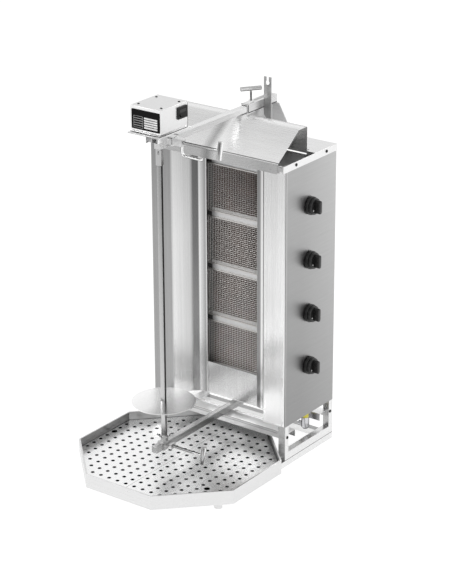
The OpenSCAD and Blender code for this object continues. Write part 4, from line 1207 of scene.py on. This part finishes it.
@dataclass
class SeamsAndShadowLines:
    """Thin trim: dark joints along the plinth, painted shadow lines in the gaps round the arm sleeve and
    under the motor case, a painted shadow line and a painted highlight along the hood's fold, the lines on
    the front beam, and rings of painted shade round the drain holes.
    """

    side: float = 0.235
    front: float = -0.024
    back: float = 0.241
    level: float = 0.020
    height: float = 0.0012
    proud: float = 0.00015
    fold: tuple[float, float] = (-0.0032, 0.9038)
    slope: float = 37.3
    fold_half: float = 0.208
    shadow: tuple[float, float] = (0.0016, 0.0040)
    bright: tuple[float, float] = (-0.0008, 0.0014)
    sleeve_line: float = 0.0022
    case_gap: float = 0.0048
    beam_levels: tuple[float, ...] = (0.0955, 0.0895)
    beam_in: float = 0.035
    rim: float = 0.0007
    rim_sides: int = 20
    widest_hole: float = 0.012

    def around_sleeve(self) -> None:
        """Makes dark lines at the arm sleeve's mouth and under its seen side: real gaps, drawn with painted
        shadow.
        """
        corners = node_corners("arm_sleeve")
        side, rear = corners[:, 0].max(), corners[:, 1].max()
        walls = corners[np.isclose(corners[:, 1], rear, atol=self.proud)]
        low, high, p, t = walls[:, 2].min(), walls[:, 2].max(), self.proud, self.sleeve_line
        front = corners[corners[:, 2] > low + p][:, 1].min()
        lines = joined(block((side - p, front, low - p), (side + p, rear, low + t)),
                       block((side - p, front - p, low + t), (side + p, front + t, high + p)),
                       block((-side, front - p, high - p), (side - p, front + t, high + p)))
        piece("sleeve_shadow_lines", lines, "seam_and_shadow_dark", "cabinet", smooth=None)

    def around_case(self) -> None:
        """Makes a painted shadow line under the motor case, along its front and its seen side, and up the
        rear.
        """
        low, high = node_box("motor_case")
        p, t = self.proud, self.height
        lines = joined(block((low[0], low[1] - p, low[2]), (high[0], low[1] + p, low[2] + t)),
                       block((high[0] - p, low[1] + p, low[2]), (high[0] + p, high[1], low[2] + t)),
                       block((high[0] - p, high[1] - t, low[2] + t),
                             (high[0] + p, high[1], high[2] - self.case_gap)))
        piece("case_shadow_lines", lines, "seam_and_shadow_dark", "carriage", smooth=None)

    def on_beam(self) -> None:
        """Makes the two fine lines along the front beam's face."""
        low, high = node_box("cross_beams")
        x0, x1, y, p, t = low[0] + self.beam_in, high[0] - self.beam_in, low[1], self.proud, self.height
        lines = [block((x0, y - p, z - t / 2), (x1, y + p, z + t / 2)) for z in self.beam_levels]
        piece("beam_lines", joined(*lines), "seam_and_shadow_grey", "cabinet", smooth=None)

    def around_holes(self) -> None:
        """Makes a ring of painted shade on the plates round each drain hole, a small wall that stands by
        itself.
        """
        work = welded(frame["nodes"]["tray_grids"].data)
        top = max(v.co.z for v in work.verts)
        left = {f for f in work.faces if abs(f.normal.z) < 0.5}
        rings = []
        while left:
            island, edge = set(), [left.pop()]
            while edge:
                face = edge.pop()
                island.add(face)
                near = {f for e in face.edges for f in e.link_faces} & left
                left -= near
                edge += near
            corners = np.array([v.co for f in island for v in f.verts])
            low, high = corners.min(axis=0), corners.max(axis=0)
            if (high - low)[:2].max() < self.widest_hole:
                middle, inner = (low + high) / 2, (high - low)[0] / 2
                outer, p = inner + self.rim, self.proud
                path = np.array([(inner, 0), (inner, p), (outer, p), (outer, 0), (inner, 0)])
                rings.append(lathe(path, self.rim_sides).moved((middle[0], middle[1], top), *UPRIGHT))
        work.free()
        piece("hole_shade_rims", joined(*rings), "seam_and_shadow_dark", "tray", smooth=None)

    def on_plinth(self) -> None:
        """Makes the joints along both sides of the plinth."""
        x, p, h = self.side, self.proud, self.height / 2
        right = block((x - p, self.front, self.level - h), (x + p, self.back, self.level + h))
        left = Patch(right.verts * np.array([-1, 1, 1]), right.faces)
        piece("plinth_seams", joined(right, left), "seam_and_shadow_dark", "cabinet", smooth=None)

    def on_hood(self) -> None:
        """Makes a painted shadow line and a painted highlight line along the hood's fold, turned to its
        slope.
        """
        c, n = math.cos(math.radians(self.slope)), math.sin(math.radians(self.slope))
        for name, (low, high), finish in (("hood_shadow_line", self.shadow, "seam_and_shadow_grey"),
                                          ("hood_highlight_line", self.bright, "print_and_highlight_white")):
            strip = block((-self.fold_half, low, -self.proud), (self.fold_half, high, self.proud))
            turned = strip.moved((0, *self.fold), (1, 0, 0), (0, c, n), (0, -n, c))
            piece(name, turned, finish, "cabinet", smooth=None)

    def build(self) -> None:
        """Makes all the thin trim."""
        self.around_sleeve()
        self.around_case()
        self.on_beam()
        self.around_holes()
        self.on_plinth()
        self.on_hood()


@dataclass
class WingClip:
    """Small collar with two bent ears that holds the spit's foot."""

    centre: tuple[float, float] = (0.0, -0.254)
    low: float = 0.1285
    radius: float = 0.0098
    height: float = 0.006
    ear: float = 0.011
    width: float = 0.0085
    thick: float = 0.0016
    edge: float = 0.0012
    sides: int = 32
    root_share: float = 0.9
    low_share: float = 0.4
    waist_share: float = 0.55
    end_share: float = 0.02
    steps: int = 9

    def ear_patch(self, sign: float) -> Patch:
        """A bent ear: its middle runs out by t and up by t^2, and its width follows sqrt(1 - (2t-1)^2)."""
        t = np.linspace(self.end_share, 1 - self.end_share, self.steps)
        out = self.radius * self.root_share + self.ear * t
        rise = self.low + self.height * self.low_share + self.ear * self.root_share * t ** 2
        half = self.width / 2 * (self.waist_share + (1 - self.waist_share) * np.sqrt(1 - (2 * t - 1) ** 2))
        corner = np.array([(1, 1), (-1, 1), (-1, -1), (1, -1)])
        y = half[:, None] * corner[:, 0]
        z = rise[:, None] + self.thick / 2 * corner[:, 1]
        x = sign * out[:, None] + 0 * y
        ring = np.stack([x, y, z], -1)
        ends = [np.broadcast_to(r.mean(axis=0), r.shape) for r in (ring[0], ring[-1])]
        return grid(np.concatenate([ends[0][None], ring, ends[1][None]]), close_v=True)

    def build(self) -> None:
        """Makes the collar and its ears, turned to the camera's side."""
        r, z0, z1 = self.radius, self.low, self.low + self.height
        path = rounded(np.array([(0, z0), (r, z0), (r, z1), (0, z1)]), self.edge, 3)
        turned = joined(lathe(path, self.sides), self.ear_patch(1.0), self.ear_patch(-1.0))
        patch = turned.moved((*self.centre, 0.0), RIGHT_SEEN, BACK_SEEN, UP)
        # Painted shade: darker below and along the clip's seen edges
        rules = (Shade(0.1), Shade(0.6, DOWN, least=0.2), Shade(0.5, LEFT_SEEN, least=0.6),
                 Shade(0.4, RIGHT_SEEN, least=0.8))
        piece("foot_wing_clip", patch, "clamp_steel", "spit", rules=rules)


@dataclass
class Studio:
    """Camera, soft lamps, pale floor and white surroundings."""

    azimuth: float = 36.58
    elevation: float = 21.85
    roll: float = -0.26
    lens: float = 128.8
    sensor: float = 36.0
    place: Triple = (3.2866, -4.3896, 2.6823)
    clip: tuple[float, float] = (0.1, 60.0)
    aim: Triple = (0.0, -0.1, 0.5)
    ambient: float = 0.55
    floor_tone: float = 0.8
    floor_radius: float = 14.0
    floor_sides: int = 96
    floor_drop: float = 0.0004
    floor_glow: float = 1.4
    glow_share: float = 0.62
    flags: Stops = ((-1.0, 1.0), (-0.02, 1.0), (0.03, 0.2), (0.18, 0.3), (0.27, 1.0), (0.62, 1.0),
                    (0.75, 0.55), (0.9, 1.0))
    toward: Stops = ((-1.0, 1.0), (0.86, 1.0), (0.95, 0.4), (1.0, 0.35))
    near: float = 0.9
    lamps: tuple[tuple[str, Triple, float, float], ...] = (("key", (-2.6, -2.6, 3.6), 2.4, 62.0),
                                                           ("fill", (3.2, -2.2, 2.2), 2.6, 22.0),
                                                           ("rear", (0.5, 3.2, 3.2), 2.4, 30.0))

    def camera(self) -> None:
        """Stands the camera at the photograph's view, from its azimuth, elevation and roll."""
        a, e, r = (math.radians(v) for v in (self.azimuth, self.elevation, self.roll))
        back = Vector((math.sin(a) * math.cos(e), -math.cos(a) * math.cos(e), math.sin(e)))
        right = Vector((math.cos(a), math.sin(a), 0.0))
        up = back.cross(right)
        right_r = right * math.cos(r) + up * math.sin(r)
        up_r = up * math.cos(r) - right * math.sin(r)
        data = bpy.data.cameras.new("camera")
        data.lens, data.sensor_width, data.sensor_fit = self.lens, self.sensor, "AUTO"
        data.clip_start, data.clip_end = self.clip
        camera = bpy.data.objects.new("camera", data)
        turn = Matrix((right_r, up_r, back)).transposed()
        camera.matrix_world = Matrix.Translation(self.place) @ turn.to_4x4()
        bpy.context.scene.collection.objects.link(camera)
        bpy.context.scene.camera = camera

    def lamp(self, name: str, place: Triple, size: float, power: float) -> None:
        """Adds a square soft lamp that looks at the studio's aim.

        Args:
            name: the lamp's name.
            place: where it hangs.
            size: its side.
            power: its power in watts.
        """
        data = bpy.data.lights.new(name, "AREA")
        data.shape, data.size, data.energy = "SQUARE", size, power
        lamp = bpy.data.objects.new(name, data)
        lamp.location = place
        lamp.rotation_euler = (Vector(self.aim) - Vector(place)).to_track_quat("-Z", "Y").to_euler()
        bpy.context.scene.collection.objects.link(lamp)

    def seen(self, tree: bpy.types.NodeTree) -> bpy.types.NodeSocket:
        """One where a camera, glossy or transmission ray looks, else zero."""
        path = tree.nodes.new("ShaderNodeLightPath")
        total = path.outputs["Is Camera Ray"]
        for name in ("Is Glossy Ray", "Is Transmission Ray"):
            most = tree.nodes.new("ShaderNodeMath")
            most.operation = "MAXIMUM"
            tree.links.new(total, most.inputs[0])
            tree.links.new(path.outputs[name], most.inputs[1])
            total = most.outputs[0]
        return total

    def band(self, tree: bpy.types.NodeTree, value: bpy.types.NodeSocket,
             stops: Stops) -> bpy.types.NodeSocket:
        """White to the camera, and for reflections a grey that runs through the stops.

        Args:
            tree: the node tree.
            value: the place, from -1 to 1.
            stops: pairs of place and grey.

        Returns:
            The colour's socket.
        """
        place = tree.nodes.new("ShaderNodeMath")
        place.operation = "MULTIPLY_ADD"
        place.inputs[1].default_value = place.inputs[2].default_value = 0.5
        tree.links.new(value, place.inputs[0])
        ramp = tree.nodes.new("ShaderNodeValToRGB")
        fill_ramp(ramp, stops, -1.0, 1.0)
        tree.links.new(place.outputs[0], ramp.inputs["Fac"])
        mix = tree.nodes.new("ShaderNodeMix")
        mix.data_type = "RGBA"
        mix.inputs[COLOUR_B].default_value = (1, 1, 1, 1)
        tree.links.new(tree.nodes.new("ShaderNodeLightPath").outputs["Is Camera Ray"], mix.inputs[0])
        tree.links.new(ramp.outputs[0], mix.inputs[COLOUR_A])
        return mix.outputs[MIXED]

    def surroundings(self) -> None:
        """White where it is seen, and an even softer light on what isn't glossy."""
        world = bpy.data.worlds.new("studio")
        bpy.context.scene.world = world
        world.use_nodes = True
        tree = world.node_tree
        light = tree.nodes["Background"]
        light.inputs["Color"].default_value = (1, 1, 1, 1)
        light.inputs["Strength"].default_value = self.ambient
        white = tree.nodes.new("ShaderNodeBackground")
        white.inputs["Strength"].default_value = 1.0
        direction = tree.nodes.new("ShaderNodeTexCoord").outputs["Generated"]
        height = tree.nodes.new("ShaderNodeSeparateXYZ")
        tree.links.new(direction, height.inputs[0])
        tree.links.new(self.band(tree, height.outputs[2], self.flags), white.inputs["Color"])
        mix = tree.nodes.new("ShaderNodeMixShader")
        tree.links.new(self.seen(tree), mix.inputs[0])
        tree.links.new(light.outputs[0], mix.inputs[1])
        tree.links.new(white.outputs[0], mix.inputs[2])
        tree.links.new(mix.outputs[0], tree.nodes["World Output"].inputs[0])

    def floor(self) -> None:
        """A round pale floor that shows white to the camera and keeps a soft shadow.

        In reflections its sector toward the camera is darker, as the room behind the camera is.
        """
        bpy.ops.mesh.primitive_circle_add(vertices=self.floor_sides, radius=self.floor_radius,
                                          fill_type="NGON", location=(0, 0, -self.floor_drop))
        floor = bpy.context.object
        floor.name = "floor"
        material = bpy.data.materials.new("floor")
        material.use_nodes = True
        tree = material.node_tree
        tree.nodes.remove(tree.nodes["Principled BSDF"])
        matte = tree.nodes.new("ShaderNodeBsdfDiffuse")
        matte.inputs["Color"].default_value = (self.floor_tone,) * 3 + (1,)
        glow = tree.nodes.new("ShaderNodeEmission")
        glow.inputs["Strength"].default_value = self.floor_glow
        azimuth = math.radians(self.azimuth)
        toward = Vector((math.sin(azimuth), -math.cos(azimuth), 0.0))
        past = tree.nodes.new("ShaderNodeVectorMath")
        past.operation = "SUBTRACT"
        past.inputs[1].default_value = toward * self.near
        tree.links.new(tree.nodes.new("ShaderNodeTexCoord").outputs["Object"], past.inputs[0])
        unit = tree.nodes.new("ShaderNodeVectorMath")
        unit.operation = "NORMALIZE"
        tree.links.new(past.outputs[0], unit.inputs[0])
        lean = tree.nodes.new("ShaderNodeVectorMath")
        lean.operation = "DOT_PRODUCT"
        lean.inputs[1].default_value = toward
        tree.links.new(unit.outputs[0], lean.inputs[0])
        tree.links.new(self.band(tree, lean.outputs["Value"], self.toward), glow.inputs["Color"])
        mix = tree.nodes.new("ShaderNodeMixShader")
        share = tree.nodes.new("ShaderNodeMath")
        share.operation = "MULTIPLY"
        share.inputs[1].default_value = self.glow_share
        tree.links.new(self.seen(tree), share.inputs[0])
        tree.links.new(share.outputs[0], mix.inputs[0])
        tree.links.new(matte.outputs[0], mix.inputs[1])
        tree.links.new(glow.outputs[0], mix.inputs[2])
        tree.links.new(mix.outputs[0], tree.nodes["Material Output"].inputs[0])
        floor.data.materials.append(material)

    def build(self) -> None:
        """Sets up the whole studio."""
        bpy.context.scene.view_settings.view_transform = "Standard"
        self.camera()
        self.surroundings()
        self.floor()
        for name, place, size, power in self.lamps:
            self.lamp(name, place, size, power)


# Nodes shown as softened copies: body, rounding, and the painted shade of their faces, painted highlight
# where a share is negative
SOFT_NODES: dict[str, tuple[str, float, tuple[Shade, ...]]] = {
    "motor_case": ("carriage", 0.0012, ()),
    "motor_plate": ("carriage", 0.0006, (Shade(0.25, FRONT), Shade(0.7, DOWN))),
    "front_bar": ("carriage", 0.0012, (Shade(0.15, FRONT),)),
    "foot_slider": ("carriage", 0.0008, (Shade(0.12, FRONT), Shade(0.08, UP), Shade(0.2, RIGHT))),
    "spit_rod": ("spit", 0.0006, (Shade(0.16, FRONT), Shade(0.25, RIGHT),
                                  Shade(0.62, RIGHT, low=(-FAR, -FAR, 0.2)))),
    "cross_beams": ("cabinet", 0.0005, (Shade(-0.35, UP), Shade(0.15, FRONT))),
    "base_frames": ("cabinet", 0.0006, (Shade(0.2, FRONT), Shade(-0.12, high=(-0.15, FAR, FAR)))),
    "gas_inlet": ("cabinet", 0.0004, (Shade(0.1), Shade(0.6, LEFT_SEEN, least=0.8),
                                      Shade(0.5, RIGHT_SEEN, least=0.8), Shade(0.45, DOWN, least=0.4),
                                      Shade(0.7, LEFT, least=0.95))),
    "tray_grids": ("tray", 0.0, (Shade(0.97, upright=True),)),
    "hood": ("cabinet", 0.0, (Shade(0.18, FRONT, high=(FAR, 0, FAR), least=0.9),
                              Shade(0.25, FRONT, low=(-FAR, 0, -FAR), least=0.9))),
    "lower_panel": ("cabinet", 0.0, (Shade(0.18),)),
    "drive_coupling": ("spit", 0.0006, (Shade(0.1), Shade(0.25, FRONT), Shade(0.1, RIGHT))),
    "switch_housing": ("carriage", 0.0006, ()),
    "rocker_switch": ("rocker", 0.0006, ()),
    "top_arm": ("arm", 0.001, (Shade(0.12, LEFT),)),
    "arm_sleeve": ("cabinet", 0.001, (Shade(0.05, RIGHT),)),
    "rear_bracket": ("cabinet", 0.0005, (Shade(0.05, RIGHT),)),
    "fork_plate": ("cabinet", 0.0005, (Shade(0.1, FRONT),)),
    "bottom_bar": ("cabinet", 0.001, (Shade(0.2, FRONT), Shade(0.12, UP), Shade(0.22, RIGHT))),
    "plinth_frame": ("cabinet", 0.0008, (Shade(0.25, UP),)),
    "drip_tray": ("tray", 0.0004, (Shade(0.06), Shade(0.34, about=(0.0, -0.188), low=(-FAR, -FAR, 0.0245)),
                                   Shade(0.97, UP, high=(FAR, FAR, 0.0245)))),
    "top_cover": ("cabinet", 0.0005, (Shade(0.28, FRONT),)),
}

# Painted shade and a faint painted highlight on the front and foot clamps' bars, the lever and the rear screw
BAR_SHADES = (Shade(-0.05), Shade(0.22, FRONT, least=0.5), Shade(0.4, LEFT_SEEN, least=0.97),
              Shade(0.3, RIGHT_SEEN, least=0.97))
LEVER_SHADES = (Shade(-0.05), Shade(0.7, DOWN, least=0.4), Shade(0.4, UP, least=0.93),
                Shade(0.6, LEFT_SEEN, least=0.8), Shade(0.4, RIGHT_SEEN, low=(-FAR, -FAR, 0.962), least=0.93))
# Height on the rear screw where its stem ends and its bar begins
REAR_BAR_LOW = 1.035
REAR_SHADES = (Shade(0.5, high=(FAR, FAR, REAR_BAR_LOW)),
               Shade(0.22, UP, least=-0.2, low=(-FAR, -FAR, REAR_BAR_LOW)),
               Shade(0.5, DOWN, least=0.3, low=(-FAR, -FAR, REAR_BAR_LOW)))


def stem_shades(limit: float) -> tuple[Shade, ...]:
    """Painted shade on the upper and lower sides of a stem that lies along X, up to the limit."""
    return (Shade(0.65, UP, high=(limit, FAR, FAR), least=0.6),
            Shade(0.5, DOWN, high=(limit, FAR, FAR), least=0.3))


CLAMPS = (
    Clamp("rear_clamp_screw", "rear_screw", origin=(0, 0.160, 0.9992), axes=UPRIGHT, stem=0.041,
          bar_half=0.031, bar_radius=0.006, radius=0.003, turn=math.radians(54), rules=REAR_SHADES),
    Clamp("front_clamp_screw", "front_screw", origin=(0.0093, -0.2, 0.985), axes=SIDEWAYS, stem=0.148,
          bar_half=0.025, bar_radius=0.0075, turn=math.radians(-12), rules=BAR_SHADES + stem_shades(0.149)),
    Clamp("foot_clamp_screw", "foot_screw", origin=(0.0093, -0.245, 0.104), axes=SIDEWAYS, stem=0.118,
          bar_half=0.025, bar_radius=0.0075, turn=math.radians(-12), rules=BAR_SHADES + stem_shades(0.119)),
)


def dress_frame() -> None:
    """Gives every node of the frame its slot's finish."""
    for name, node in frame["nodes"].items():
        node.data.materials.clear()
        node.data.materials.append(PAINTS.get(SLOTS[name]))


def main() -> None:
    """Builds the studio and every sub-assembly in order."""
    logging.basicConfig(level=logging.INFO, format="%(name)s: %(message)s")
    dress_frame()
    Studio().build()
    for node, (body, width, rules) in SOFT_NODES.items():
        softened(node, width, body, rules)
    Burners().build()
    for clamp in CLAMPS:
        clamp.build()
    Lever(rules=LEVER_SHADES).build()
    Knobs().build()
    screws = Screws()
    screws.build("sheet_screws", "cabinet")
    screws.build("case_screws", "carriage")
    Label().build()
    SeamsAndShadowLines().build()
    WingClip().build()


if __name__ == "__main__":
    main()
